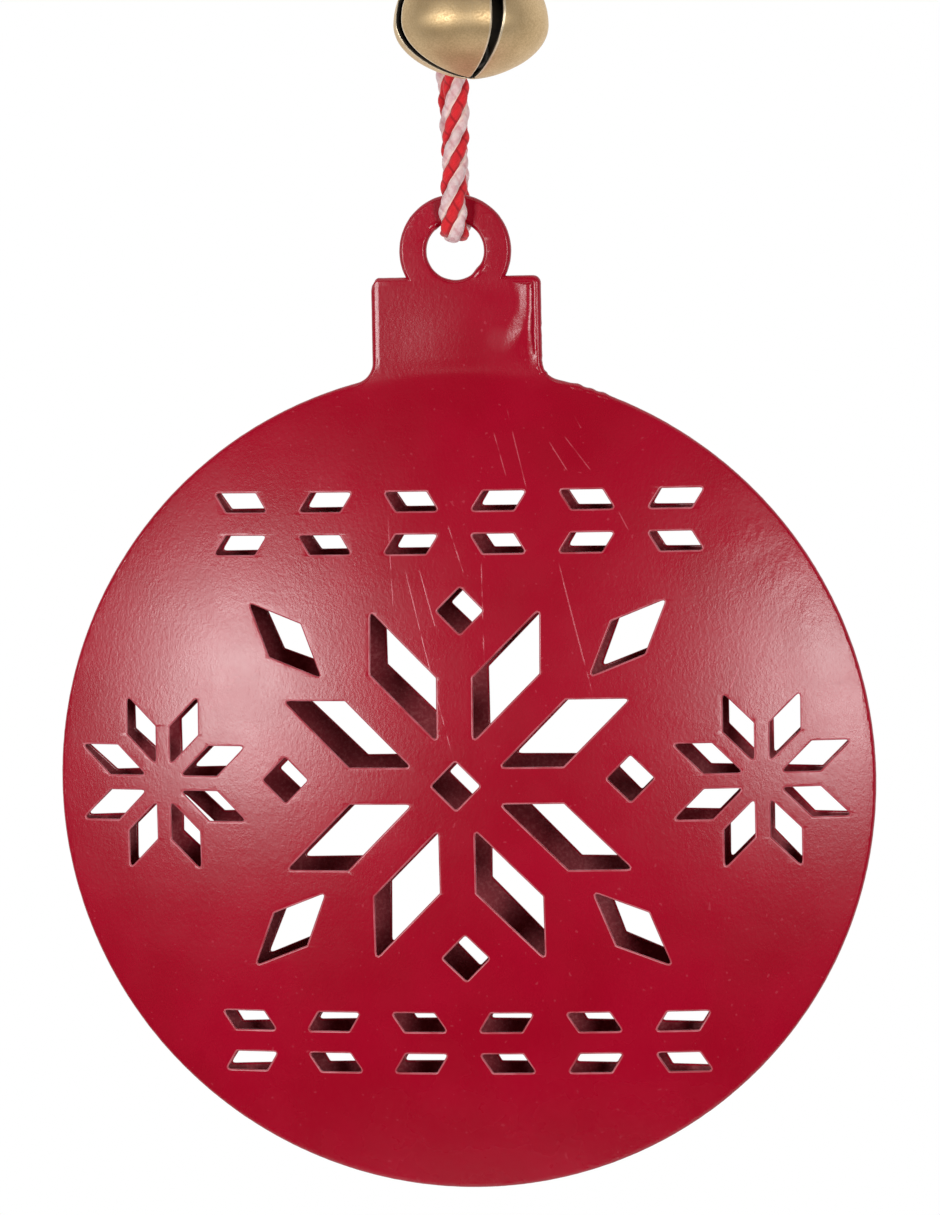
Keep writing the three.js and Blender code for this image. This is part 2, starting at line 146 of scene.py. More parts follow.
def modify(piece, kind, **settings):
    """Adds a modifier with these settings and applies it at once."""
    select_only(piece)
    modifier = piece.modifiers.new(kind.lower(), kind)
    set_all(modifier, settings)
    bpy.ops.object.modifier_apply(modifier=modifier.name)


def settle(piece, name, body, *nodes):
    """Names a finished piece, lets it ride on its body and take over from the plain solids."""
    piece.name = name
    piece.data.name = name
    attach(piece, body)
    if nodes:
        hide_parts(*nodes)
    print(name, len(piece.data.vertices), "vertices")


def wear(piece, *materials):
    """Puts materials in a piece's slots, in this order. A slot can stay empty until later."""
    slots = piece.data.materials
    for index, material in enumerate(materials):
        if index == len(slots):
            slots.append(material)
        else:
            slots[index] = material


def shade_smooth(piece, degrees=180):
    """Shades a piece smooth, but for edges sharper than this angle."""
    select_only(piece)
    bpy.ops.object.shade_smooth_by_angle(angle=math.radians(degrees))


def uneven(x, y, z):
    """A soft random value of this place, between -1 and 1."""
    return noise.noise(Vector((x, y, z)))


def smooth_between(low, high, value):
    """0 below low, 1 above high, and a soft rise between."""
    share = min(1, max(0, (value - low) / (high - low)))
    return share * share * (3 - 2 * share)


def arc(centre, radius, start, end, count):
    """Points on an arc, angles in degrees."""
    points = []
    for i in range(count + 1):
        angle = math.radians(start + (end - start) * i / count)
        points.append((centre[0] + radius * math.cos(angle), centre[1] + radius * math.sin(angle)))
    return points


# %% [markdown]
# The cord is four plies twisted together, two red and two white. It could be four thin tubes wound
# round each other, but they would cut into each other. Here it is one tube whose section has four
# lobes, and the section turns as it goes along. The map that goes with it counts the plies one way
# and the turns of the twist the other way, so that the colours can follow the plies.

# %% Sizes of the cord
CORD_DIAMETER = 5
CORD_RADIUS = CORD_DIAMETER / 2
TWIST_LENGTH = 18.8
PLIES = 4
PLY_RADIUS = 1.2
PLY_OFFSET = CORD_RADIUS - PLY_RADIUS
POINTS_PER_PLY = 10
CORD_STEP = 0.28
YARN_LENGTH = 2.4
YARN_SKEW = 1.0
YARN_BULGE = 0.27
YARN_MIDDLE = 0.6
CORD_WOBBLE = 0.09
SQUEEZED_OUT = 0.25


# %% Curves through chosen points
def added_up(points, power=1.0):
    """How far along each point is, with each step's length raised to this power."""
    along = [0.0]
    for a, b in zip(points, points[1:]):
        along.append(along[-1] + (b - a).length ** power)
    return along


def smooth_curve(points, per_span=24):
    """A centripetal Catmull-Rom curve through the points."""
    ends = [points[0] * 2 - points[1], *points, points[-1] * 2 - points[-2]]
    times = added_up(ends, 0.5)
    line = []
    for first in range(len(ends) - 3):
        p0, p1, p2, p3 = ends[first:first + 4]
        t0, t1, t2, t3 = times[first:first + 4]
        for step in range(per_span):
            t = t1 + (t2 - t1) * step / per_span
            a1 = p0.lerp(p1, (t - t0) / (t1 - t0))
            a2 = p1.lerp(p2, (t - t1) / (t2 - t1))
            a3 = p2.lerp(p3, (t - t2) / (t3 - t2))
            b1 = a1.lerp(a2, (t - t0) / (t2 - t0))
            b2 = a2.lerp(a3, (t - t1) / (t3 - t1))
            line.append(b1.lerp(b2, (t - t1) / (t2 - t1)))
    line.append(points[-1].copy())
    return line


def even_steps(line, step):
    """The same line with equal steps, and its length."""
    along = added_up(line)
    count = max(2, round(along[-1] / step))
    result = []
    i = 0
    for n in range(count + 1):
        want = along[-1] * n / count
        while i < len(line) - 2 and along[i + 1] < want:
            i += 1
        span = max(1e-9, along[i + 1] - along[i])
        result.append(line[i].lerp(line[i + 1], (want - along[i]) / span))
    return result, along[-1]


# %% The cord's section
def ply_profile():
    """Angle and distance of each point of the four-lobed section, in millimetres."""
    profile = []
    count = PLIES * POINTS_PER_PLY
    for k in range(count):
        angle = 2 * math.pi * k / count
        from_ply = (angle + math.pi / PLIES) % (2 * math.pi / PLIES) - math.pi / PLIES
        side = PLY_OFFSET * math.sin(from_ply)
        reach = PLY_OFFSET * math.cos(from_ply) + math.sqrt(PLY_RADIUS ** 2 - side ** 2)
        profile.append((angle, from_ply, reach))
    return profile


def section_points(centre, side, up, along, press):
    """One ring of the cord's surface, at a distance along the cord in millimetres."""
    turn = 2 * math.pi * along / TWIST_LENGTH
    ring = []
    for angle, from_ply, reach in ply_profile():
        phase = along / YARN_LENGTH + YARN_SKEW * from_ply * PLIES / (2 * math.pi)
        yarn = YARN_BULGE * (abs(math.sin(math.pi * phase)) - YARN_MIDDLE)
        far = (reach + yarn + CORD_WOBBLE * uneven(angle * 2, along * 0.45, 7.3)) * MM
        offset = side * far * math.cos(angle + turn) + up * far * math.sin(angle + turn)
        if press:
            inwards, share, across = press
            offset -= inwards * offset.dot(inwards) * share
            offset += across * offset.dot(across) * share * SQUEEZED_OUT
        ring.append(centre + offset)
    return ring


def skin_rings(name, rings, closed, start, length):
    """Joins rings of points with quads, closes the ends and writes the map of the plies."""
    around = len(rings[0])
    spans = len(rings) if closed else len(rings) - 1
    faces = []
    maps = []
    for j in range(spans):
        low, high = j * around, (j + 1) % len(rings) * around
        v0, v1 = ((start + i * length / spans) / TWIST_LENGTH for i in (j, j + 1))
        for k in range(around):
            after = (k + 1) % around
            u0, u1 = k / around, (k + 1) / around
            faces.append((low + k, low + after, high + after, high + k))
            maps += [(u0, v0), (u1, v0), (u1, v1), (u0, v1)]
    if not closed:
        faces += [tuple(reversed(range(around))), tuple(range(spans * around, len(rings) * around))]
        maps += [(1 - k / around, start / TWIST_LENGTH) for k in range(around)]
        maps += [(k / around, (start + length) / TWIST_LENGTH) for k in range(around)]
    mesh = bpy.data.meshes.new(name)
    mesh.from_pydata([point for ring in rings for point in ring], [], faces)
    layer = mesh.uv_layers.new(name="plies")
    layer.data.foreach_set("uv", [value for pair in maps for value in pair])
    piece = add_object(name, mesh)
    shade_smooth(piece)
    return piece


def cord_mesh(name, route, press_at=None, start_along=0.0, closed=False):
    """A twisted cord along a route in metres. Returns the object, its line and its length."""
    line, length = even_steps(route, CORD_STEP * MM)
    if closed:
        line = line[:-1]
    side = None
    rings = []
    for i, centre in enumerate(line):
        before = line[i - 1] if i or closed else line[0]
        after = line[(i + 1) % len(line)] if i < len(line) - 1 or closed else line[-1]
        ahead = (after - before).normalized()
        if side is None:
            side = ahead.orthogonal()
        side = (side - ahead * side.dot(ahead)).normalized()
        along = start_along + i * length / len(line) / MM
        press = press_at(centre) if press_at else None
        rings.append(section_points(centre, side, ahead.cross(side), along, press))
    return skin_rings(name, rings, closed, start_along, length / MM), line, length


# %% [markdown]
# The stretch that carries the bauble comes down from the knot, goes through the ring from the
# front, turns under the ring's top bar and goes back up behind. Its route was chosen in the plain
# model and is repeated here. Both ends run on a little way inside the knot, so that no gap
# shows under it. The cord is squeezed a little where it bears on the thin bar.

# %% Route through the ring
NECK_HEIGHT = 17.8
RING_ABOVE_NECK = 4.95
RING_DIAMETER = 21.9
RING_HOLE = 11.2
KNOT_ABOVE_RING = 47.25
GAP = 0.3
BIGHT_CLEARANCE = 0.2
NECK_TOP = DISC_RADIUS + NECK_HEIGHT
RING_CENTRE = NECK_TOP + RING_ABOVE_NECK
RING_HOLE_TOP = RING_CENTRE + RING_HOLE / 2
KNOT_UNDERSIDE = RING_HOLE_TOP + KNOT_ABOVE_RING
LEG_OFFSET = CORD_RADIUS + GAP / 2
BIGHT_RADIUS = 2.75
BIGHT_SIDEWAYS = 0.1
BIGHT_ARC = (200, 340)
PRESSED = 0.36
PRESSED_WITHIN = (4.0, 7.5)
PRESSED_ABOVE = (0.5, 6)
BAR_ABOVE_HOLE = 0.6
INTO_KNOT = 4.0
RING_LOOP_START = 8.8 - INTO_KNOT - GAP
PLAIN_BIGHT_RADIUS = 3.56


def ring_loop_route():
    """The points of the ring loop, as bow sideways, place before or behind the ring, and height."""
    bight = RING_HOLE_TOP + BIGHT_CLEARANCE
    rise = KNOT_UNDERSIDE - GAP - bight
    spread = PLAIN_BIGHT_RADIUS - LEG_OFFSET
    front = [(0, 0, 1), (0.6, 0, 0.84), (1.0, 0, 0.68), (1.1, 0, 0.51), (1.0, 0.3, 0.36),
             (0.75, 0.7, 0.23), (0.4, 1, 0.12), (0.15, 0.6, 0.04)]
    back = [(0.1, 0.6, 0.04), (0, 1, 0.12), (-0.15, 0.7, 0.23), (-0.4, 0.3, 0.36),
            (-0.65, 0, 0.51), (-1.1, 0, 0.68), (-0.8, 0, 0.84), (0, 0, 1)]

    def leg(points, side):
        return [place(x, side * (LEG_OFFSET + away * spread), bight + share * rise)
                for x, away, share in points]

    turn = [place(BIGHT_SIDEWAYS, y, z) for y, z in arc((0, bight), BIGHT_RADIUS, *BIGHT_ARC, 6)]
    ends = [place(0, side * LEG_OFFSET, KNOT_UNDERSIDE + INTO_KNOT) for side in (-1, 1)]
    return [ends[0], *leg(front, -1), *turn, *leg(back, 1), ends[1]]


def pressed_at_bight(point):
    """The cord is flattened towards the ring's bar where it turns under it."""
    to_bar = place(point.x / MM, 0, RING_HOLE_TOP + BAR_ABOVE_HOLE) - point
    over_hole = point.z / MM - CENTRE - RING_HOLE_TOP
    low = 1 - smooth_between(*PRESSED_ABOVE, over_hole)
    near = 1 - smooth_between(*PRESSED_WITHIN, to_bar.length / MM)
    return to_bar.normalized(), PRESSED * low * near, Vector((1, 0, 0))


ring_loop, ring_loop_line, ring_loop_length = cord_mesh(
    "cord_ring_loop_twisted", smooth_curve(ring_loop_route()), pressed_at_bight, RING_LOOP_START
)
print("ring loop length", round(ring_loop_length, 4), "m")

# %% [markdown]
# The stretch that goes over the hook leaves the top of the knot and comes back into it. It too
# runs on inside the knot.

# %% Route over the hook
KNOT_HEIGHT = 20.4
HANGING_LOOP_HEIGHT = 67
KNOT_TOP = KNOT_UNDERSIDE + KNOT_HEIGHT
HANG_POINT = KNOT_TOP + HANGING_LOOP_HEIGHT - CORD_RADIUS


def hanging_loop_route():
    """The points of the hanging loop, as half width and share of its height."""
    start = KNOT_TOP + GAP
    rise = HANG_POINT - start
    side = [(LEG_OFFSET, 0), (3.2, 0.08), (5.4, 0.2), (8.3, 0.36), (10.8, 0.52), (12.2, 0.66),
            (12, 0.81), (10.4, 0.91), (6, 0.975)]
    right = [place(LEG_OFFSET, 0, KNOT_TOP - INTO_KNOT)]
    right += [place(x, 0, start + share * rise) for x, share in side]
    left = [Vector((-point.x, point.y, point.z)) for point in reversed(right)]
    return right + [place(0, 0, HANG_POINT)] + left


hanging_loop, hanging_loop_line, hanging_loop_length = cord_mesh(
    "cord_hanging_loop_twisted", smooth_curve(hanging_loop_route())
)
print("hanging loop length", round(hanging_loop_length, 4), "m")

# %% [markdown]
# Both stretches are named, ride on their bodies and take over from the frame's plain solids.

settle(ring_loop, "cord_ring_loop_twisted", "lower_cord", "cord_ring_loop")
settle(hanging_loop, "cord_hanging_loop_twisted", "hanger", "cord_hanging_loop")

# %% [markdown]
# The knot holds both stretches together. A knot drawn tight looks like a barrel of crossing
# turns, and a line that winds twice round an axis while it rises and falls three times gives
# exactly that. One more turn of cord stands out in front and carries the bell, and the two
# cut ends stand out behind.

# %% The knot's turns
KNOT_MIDDLE = KNOT_UNDERSIDE + KNOT_HEIGHT / 2
TURNS = 2
RISES_PER_TURN = 1.5
TURN_RADIUS = 5.2
TURN_SPREAD = 2.2
TURN_RISE = 7.5
KNOT_STEPS = 240


def knot_route():
    """A closed line that winds round the knot's axis, out and in, and up and down."""
    route = []
    for i in range(KNOT_STEPS + 1):
        angle = 2 * math.pi * TURNS * i / KNOT_STEPS
        radius = TURN_RADIUS + TURN_SPREAD * math.cos(RISES_PER_TURN * angle)
        height = KNOT_MIDDLE + TURN_RISE * math.sin(RISES_PER_TURN * angle)
        route.append(place(radius * math.cos(angle), radius * math.sin(angle), height))
    return route


knot_turns, _, _ = cord_mesh("knot_turns", knot_route(), closed=True)

# %% Where the bell hangs
BELL_RADIUS = 14.7
BELL_UPPER = 14
BELL_LOWER = 10.15
BELL_LOWER_POWER = 0.65
BELL_SHEET = 0.8
BELL_TILT = 7.6
BELL_SIDEWAYS = 6.5
BELL_BELOW_KNOT = 10.7
EYE_WIRE = 1.6
EYE_HOLE = 6.2
EYE_ABOVE_BELL = 4
LEGS_RADIUS = LEG_OFFSET + CORD_RADIUS
BELL_BEFORE_CORD = math.sqrt((BELL_RADIUS + GAP + LEGS_RADIUS) ** 2 - BELL_SIDEWAYS ** 2)
EYE_CENTRE = BELL_UPPER + EYE_ABOVE_BELL
EYE_PIVOT = EYE_CENTRE + EYE_HOLE / 2 - GAP - CORD_RADIUS
bell_middle = place(BELL_SIDEWAYS, -BELL_BEFORE_CORD, KNOT_UNDERSIDE - BELL_BELOW_KNOT)
bell_place = Matrix.Translation(bell_middle)
bell_place = bell_place @ Matrix.Rotation(math.radians(-BELL_TILT), 4, "X")

# %% The turn that carries the bell, and the cut ends
CARRY_RADIUS = 11
CARRY_SIDEWAYS = 4
CARRY_ARC = (150, 480)
CUT_END_LENGTH = 8
CUT_END_SPREAD = 32
CUT_END_RISE = 25
KNOT_RADIUS = 10


def carrying_turn_route():
    """An arc of a circle out of the knot, through the bell's eye and back."""
    eye = bell_place @ Vector((0, 0, EYE_PIVOT * MM))
    behind = math.sqrt(CARRY_RADIUS ** 2 - (BELL_SIDEWAYS - CARRY_SIDEWAYS) ** 2)
    turn = arc((CARRY_SIDEWAYS, eye.y / MM + behind), CARRY_RADIUS, *CARRY_ARC, 60)
    return [Vector((x * MM, y * MM, eye.z)) for x, y in turn]


def cut_end_route(side):
    """A short straight end out of the back of the knot."""
    spread = math.radians(CUT_END_SPREAD) * side
    out = Vector((math.sin(spread), math.cos(spread), math.tan(math.radians(CUT_END_RISE))))
    root = place(0, KNOT_RADIUS / 2, KNOT_MIDDLE)
    reach = out.normalized() * (KNOT_RADIUS / 2 + CUT_END_LENGTH) * MM
    return [root + reach * share / 12 for share in range(13)]


knot_ends = [cord_mesh("carrying_turn", carrying_turn_route())[0]]
knot_ends += [cord_mesh("cut_end", cut_end_route(side))[0] for side in (-1, 1)]
select_only(knot_turns)
for piece in knot_ends:
    piece.select_set(True)
bpy.ops.object.join()
settle(knot_turns, "cord_knot_tied", "hanger", "cord_knot")

# %% [markdown]
# Each half of the bauble is one flat sheet with a neck and a ring, punched and then pressed into a
# shallow dome. It is modelled in the same order. A flat outline with holes is filled and given a
# thickness with rounded edges. The flat sheet is then cut by a fine grid, because only points can
# move, and its points are pressed out to the dome's height.

# %% Sizes of the sheet
SHEET = 0.8
DOME_RISE = 12
NECK_WIDTH = 33.2
NECK_CORNER = 1.6
NECK_FILLET = 4
EDGE_ROUND = 0.95
PLATE_INSET = 0.4
HOLE_ROUND = 0.34
CORNER_ROUND = 0.45
SKIN = 0.01
PLAIN_RIM = 2
EVERYWHERE = 200


# %% The outline of the disc, neck and ring
def sheet_outline(inset):
    """The outline moved inwards by inset, once round from the disc's left shoulder."""
    half = NECK_WIDTH / 2
    fillet_x = half + NECK_FILLET
    fillet_z = math.sqrt((DISC_RADIUS + NECK_FILLET) ** 2 - fillet_x ** 2)
    foot = math.degrees(math.atan2(fillet_x, fillet_z))
    radius = RING_DIAMETER / 2 - inset
    ring_foot = math.degrees(math.asin((RING_ABOVE_NECK + inset) / radius))
    corner = (half - NECK_CORNER, NECK_TOP - NECK_CORNER)
    disc = arc((0, 0), DISC_RADIUS - inset, 90 + foot, 450 - foot, 360)
    ring = arc((0, RING_CENTRE), radius, -ring_foot, 180 + ring_foot, 72)
    right = arc((fillet_x, fillet_z), NECK_FILLET + inset, 270 - foot, 180, 12)
    right += arc(corner, NECK_CORNER - inset, 0, 90, 8)
    left = [(-x, z) for x, z in reversed(right)]
    return disc + right + ring + left


# %% [markdown]
# The pattern is a traditional knitting star: eight petals round a square, the same star small at
# each side, rhombi in the corners, and rows of slots that lean left and right in turn.

# %% Sizes of the pattern
STAR = {"rib": 7.2, "reach": 16.4, "side": 12.1}
SIDE_STAR = {"rib": 3.0, "reach": 7.3, "side": 7.4}
SIDE_STAR_FROM_RIM = 21.5
SIDE_STAR_RAISED = 0.3
CENTRE_SQUARE = 9.4
SMALL_SQUARE = 9
SMALL_SQUARE_FROM_CENTRE = 33.6
SMALL_SQUARE_DRIFT = 1.1
RHOMBUS_LONG = 20.4
RHOMBUS_SHORT = 8.9
RHOMBUS_ACROSS = 33.4
RHOMBUS_UP = 28.1
SLOT_WIDTH = 8.2
SLOT_HEIGHT = 3.7
SLOT_LEAN = 2.3
SLOT_PITCH = 17
SLOTS_IN_ROW = 6
SLOT_ROWS_FROM_RIM = 29.5
SLOT_ROW_SPACING = 8.2
BACK_PATTERN_RAISED = 0.5


# %% The shapes of the holes
def petals(centre, rib, reach, side):
    """The eight petals of a star."""
    inner = rib / 2
    slant = inner * math.sqrt(2)
    leaf = [(inner, inner + slant), (inner, inner + slant + side),
            (reach, reach + slant + side), (reach, reach + slant)]
    holes = []
    for sign_x in (-1, 1):
        for sign_z in (-1, 1):
            holes.append([(centre[0] + sign_x * a, centre[1] + sign_z * b) for a, b in leaf])
            holes.append([(centre[0] + sign_x * b, centre[1] + sign_z * a) for a, b in leaf])
    return holes


def standing_square(x, z, diagonal):
    half = diagonal / 2
    return [(x, z + half), (x + half, z), (x, z - half), (x - half, z)]


def rhombus(sign_x, sign_z):
    long = RHOMBUS_LONG / 2 * math.sqrt(0.5)
    short = RHOMBUS_SHORT / 2 * math.sqrt(0.5)
    corners = [(long, long), (short, -short), (-long, -long), (-short, short)]
    return [(sign_x * (RHOMBUS_ACROSS + x), sign_z * (RHOMBUS_UP + z)) for x, z in corners]


def slot_rows(middle):
    """Two rows of leaning slots round a height."""
    rows = []
    for row in (0, 1):
        for i in range(SLOTS_IN_ROW):
            x = (i - (SLOTS_IN_ROW - 1) / 2) * SLOT_PITCH
            z = middle + (0.5 - row) * SLOT_ROW_SPACING
            lean = SLOT_LEAN / 2 if (i + row) % 2 else -SLOT_LEAN / 2
            wide = SLOT_WIDTH / 2
            tall = SLOT_HEIGHT / 2
            rows.append([(x - wide + lean, z + tall), (x + wide + lean, z + tall),
                         (x + wide - lean, z - tall), (x - wide - lean, z - tall)])
    return rows


def pattern_holes():
    far = SMALL_SQUARE_FROM_CENTRE
    drift = SMALL_SQUARE_DRIFT
    rows_at = DISC_RADIUS - SLOT_ROWS_FROM_RIM
    holes = petals((0, 0), **STAR)
    holes.append(standing_square(0, 0, CENTRE_SQUARE))
    for x, z in ((drift, far), (drift, -far), (-far, drift), (far, drift)):
        holes.append(standing_square(x, z, SMALL_SQUARE))
    holes += slot_rows(rows_at) + slot_rows(-rows_at)
    for sign in (-1, 1):
        holes += [rhombus(sign, -1), rhombus(sign, 1)]
        holes += petals((sign * (DISC_RADIUS - SIDE_STAR_FROM_RIM), SIDE_STAR_RAISED), **SIDE_STAR)
    return holes


def round_corners(corners, radius, steps=3):
    """The same polygon with its corners rounded."""
    points = []
    for i, corner in enumerate(corners):
        here = Vector(corner)
        before = (Vector(corners[i - 1]) - here).normalized()
        after = (Vector(corners[(i + 1) % len(corners)]) - here).normalized()
        half_angle = before.angle(after) / 2
        start = here + before * radius / math.tan(half_angle)
        end = here + after * radius / math.tan(half_angle)
        for step in range(steps + 1):
            t = step / steps
            points.append(tuple(start.lerp(here, t).lerp(here.lerp(end, t), t)))
    return points


print("holes in each half:", len(pattern_holes()))


# %% [markdown]
# A filled curve makes the flat sheet in one go: Blender fills between the outline and the holes,
# extrudes the sheet to its thickness and rounds every edge. Its faces are numbered while it is
# still flat, so that the inner side and the holes' lips can have finishes of their own: painted
# shade inside and a painted highlight on the lips. Once its doubled points are merged, it is one
# closed body.

# %% Flat sheet from a filled curve
def mark_faces(piece):
    """Numbers the flat sheet's faces: 1 on the inner side, 2 on the holes' lips, 0 elsewhere."""
    wear(piece, None, None, None)
    for face in piece.data.polygons:
        x, z, depth = face.center
        on_round = SHEET / 2 - HOLE_ROUND < depth < SHEET / 2 - SKIN
        # Index 1 takes the inside's painted shade, index 2 the lips' painted highlight.
        if depth < SKIN - SHEET / 2:
            face.material_index = 1
        elif on_round and math.hypot(x, z) < DISC_RADIUS - PLAIN_RIM:
            face.material_index = 2


def ring_hole_edge(inset):
    """The edge of the ring's hole, moved into the sheet by inset."""
    return arc((0, RING_CENTRE), RING_HOLE / 2 + inset, 0, 355, 71)


def flat_sheet(name, raised):
    """The punched sheet, lying flat in X and Y, in millimetres."""
    outlines = [sheet_outline(PLATE_INSET)]
    for hole in pattern_holes():
        outlines.append(round_corners([(x, z + raised) for x, z in hole], CORNER_ROUND))
    outlines.append(ring_hole_edge(PLATE_INSET))
    piece = mesh_from_curve(name, outlines, dimensions="2D", fill_mode="BOTH",
                            extrude=SHEET / 2 - HOLE_ROUND, bevel_depth=HOLE_ROUND,
                            bevel_resolution=2, offset=-HOLE_ROUND)
    mark_faces(piece)
    return piece


def tidy_mesh(piece, distance):
    """Merges doubled points and turns every face outwards."""
    select_only(piece)
    bpy.ops.object.mode_set(mode="EDIT")
    bpy.ops.mesh.select_all(action="SELECT")
    bpy.ops.mesh.remove_doubles(threshold=distance)
    bpy.ops.mesh.normals_make_consistent(inside=False)
    bpy.ops.object.mode_set(mode="OBJECT")


def cut_by_grid(piece, pitch, low=(-EVERYWHERE, -EVERYWHERE), high=(EVERYWHERE, EVERYWHERE)):
    """Cuts the part of the flat sheet inside a box along evenly spaced lines both ways."""
    select_only(piece)
    for axis in (0, 1):
        first = math.ceil(max(low[axis], -DISC_RADIUS) / pitch)
        last = math.floor(min(high[axis], NECK_TOP + RING_DIAMETER) / pitch)
        for face in piece.data.polygons:
            face.select = all(low[a] < face.center[a] < high[a] for a in (0, 1))
        bpy.ops.object.mode_set(mode="EDIT")
        bpy.ops.object.vertex_group_assign_new()
        for i in range(first, last + 1):
            normal = (1, 0, 0) if axis == 0 else (0, 1, 0)
            spot = [i * pitch * value for value in normal]
            bpy.ops.mesh.select_all(action="DESELECT")
            bpy.ops.object.vertex_group_select()
            bpy.ops.mesh.bisect(plane_co=spot, plane_no=normal)
        bpy.ops.object.vertex_group_remove(all=True)
        bpy.ops.object.mode_set(mode="OBJECT")


# %% [markdown]
# Pressing moves each point of the sheet outwards by the dome's height at its distance from the
# centre. The neck was pressed too: it stands a little proud in its middle and falls away to its
# right edge, where the sheet was pinched. A pressed sheet is never quite true, so a faint, wide
# waviness goes on top. It bends the reflections.

# %% Pressing the sheet
EDGE_HEIGHT = 0.91
DOME_EDGE = DISC_RADIUS - 0.68
NECK_BLEND = 2.0
WAVE_HEIGHT = 0.03
WAVE_LENGTH = 22
FINE_WAVES = (2.6, 0.3)
FLAT_AT_RIM = 8
NECK_RAISED = 0.06
NECK_RISES = (DISC_RADIUS + 1, DISC_RADIUS + 5)
NECK_RIGHT_EDGE = (NECK_WIDTH / 2 - 2.4, NECK_WIDTH / 2 - 0.6)
PINCH_LINE = 12.0
PINCH_WANDER = 1.5
PINCH_WIDTH = 4.2
PINCH_DEPTH = 0.8
PINCH_CRUMPLE = 0.12
PINCH_STARTS = (NECK_TOP - 17, NECK_TOP - 10)
PINCH_ENDS = (NECK_TOP - 1.2, NECK_TOP - 0.2)
NECK_BULGE = 0.4
NECK_SAG = 0.3
BULGE_RISES = (1.5 - NECK_WIDTH / 2, 0)
BULGE_FALLS = (1.5, 11.5)
BULGE_STARTS = (DISC_RADIUS - 1, DISC_RADIUS + 3)
BULGE_ENDS = (NECK_TOP - 7, NECK_TOP - 0.5)
NECK_SIDE_BEND = 0.28
NECK_SIDE_WIDTH = 1.6
SIDE_STARTS = (DISC_RADIUS - 1, DISC_RADIUS + 2)


def dome_height(x, z):
    """How far the sheet's outer face stands out over the rim, in millimetres."""
    radius = math.hypot(x, z)
    rise = DOME_RISE * (1 - (radius / DOME_EDGE) ** 2)
    under_neck = z > 0 and abs(x) < NECK_WIDTH / 2 + NECK_FILLET
    if not under_neck:
        return rise
    soft = NECK_BLEND * 2 * DOME_RISE / DOME_EDGE
    return (rise + math.sqrt(rise * rise + soft * soft / 4)) / 2


def sheet_wave(x, z, seed):
    """A faint waviness of the pressed sheet."""
    finer, share = FINE_WAVES
    x, z, to_rim = x / WAVE_LENGTH, z / WAVE_LENGTH, DISC_RADIUS - math.hypot(x, z)
    wave = uneven(x, z, seed) + share * uneven(x * finer, z * finer, seed + 9)
    return WAVE_HEIGHT * wave * smooth_between(0, FLAT_AT_RIM, to_rim)


def neck_pinch(x, z):
    """How far the neck's right side is pressed in, in millimetres."""
    line = PINCH_LINE + PINCH_WANDER * math.sin((z - NECK_TOP + 9.5) * 0.33)
    fall = smooth_between(line - PINCH_WIDTH / 2, line + PINCH_WIDTH / 2, x)
    depth = fall * (PINCH_DEPTH + PINCH_CRUMPLE * uneven(x * 0.5, z * 0.5, 2.0))
    fade = smooth_between(*PINCH_STARTS, z) * (1 - smooth_between(*PINCH_ENDS, z))
    return depth * fade * (1 - smooth_between(*NECK_RIGHT_EDGE, x))


def neck_bulge(x, z):
    """How far the neck's middle stands out over its sides, in millimetres. Its right side sags."""
    rise = NECK_BULGE * smooth_between(*BULGE_RISES, x)
    sag = (NECK_BULGE + NECK_SAG) * smooth_between(*BULGE_FALLS, x)
    fade = smooth_between(*BULGE_STARTS, z) * (1 - smooth_between(*BULGE_ENDS, z))
    return (rise - sag) * fade * (1 - smooth_between(*NECK_RIGHT_EDGE, x))


def neck_side(x, z):
    """How far the neck's left side is bent back, in millimetres."""
    inwards = x + NECK_WIDTH / 2 - PLATE_INSET
    if inwards > NECK_SIDE_WIDTH:
        return 0
    bend = NECK_SIDE_BEND * (1 - max(0, inwards) / NECK_SIDE_WIDTH) ** 2
    return bend * smooth_between(*SIDE_STARTS, z)


def press(piece, facing, seed):
    """Stands the flat sheet up and presses it into its dome. facing is -1 in front, 1 behind."""
    for vertex in piece.data.vertices:
        x, z, depth = vertex.co
        outer = EDGE_HEIGHT - SHEET / 2 + depth + dome_height(x, z) + sheet_wave(x, z, seed)
        outer += NECK_RAISED * smooth_between(*NECK_RISES, z)
        if z > DISC_RADIUS - 1 and abs(x) < NECK_WIDTH / 2 and facing < 0:
            outer += neck_bulge(x, z) - neck_pinch(x, z) - neck_side(x, z)
        vertex.co = place(x, facing * outer, z)
    tidy_mesh(piece, PRESSED_MERGE)
    shade_smooth(piece, SHARP_EDGE)
    modify(piece, "WEIGHTED_NORMAL", weight=80, keep_sharp=True)


# %% Make both halves
GRID = 2.5
NECK_GRID = 0.65
NECK_SIDE_GRID = 0.35
NECK_FROM = NECK_TOP - 18
PINCHED_SIDE = (4, 16.3)
BENT_SIDE = (-16.4, -14.3)
FLAT_MERGE = 0.001
PRESSED_MERGE = 0.00001
ROUND_MERGE = 0.000002
SHARP_EDGE = 60
FRONT_SEED = 3.1
BACK_SEED = 5.7
front_shell = flat_sheet("front_shell_pressed", 0)
tidy_mesh(front_shell, FLAT_MERGE)
cut_by_grid(front_shell, GRID)
for pitch, (left, right) in ((NECK_GRID, PINCHED_SIDE), (NECK_SIDE_GRID, BENT_SIDE)):
    cut_by_grid(front_shell, pitch, (left, NECK_FROM), (right, NECK_TOP))
press(front_shell, -1, FRONT_SEED)
back_shell = flat_sheet("back_shell_pressed", BACK_PATTERN_RAISED)
tidy_mesh(back_shell, FLAT_MERGE)
cut_by_grid(back_shell, GRID)
press(back_shell, 1, BACK_SEED)
settle(front_shell, "front_shell_pressed", "bauble", "front_shell")
settle(back_shell, "back_shell_pressed", "bauble", "back_shell")

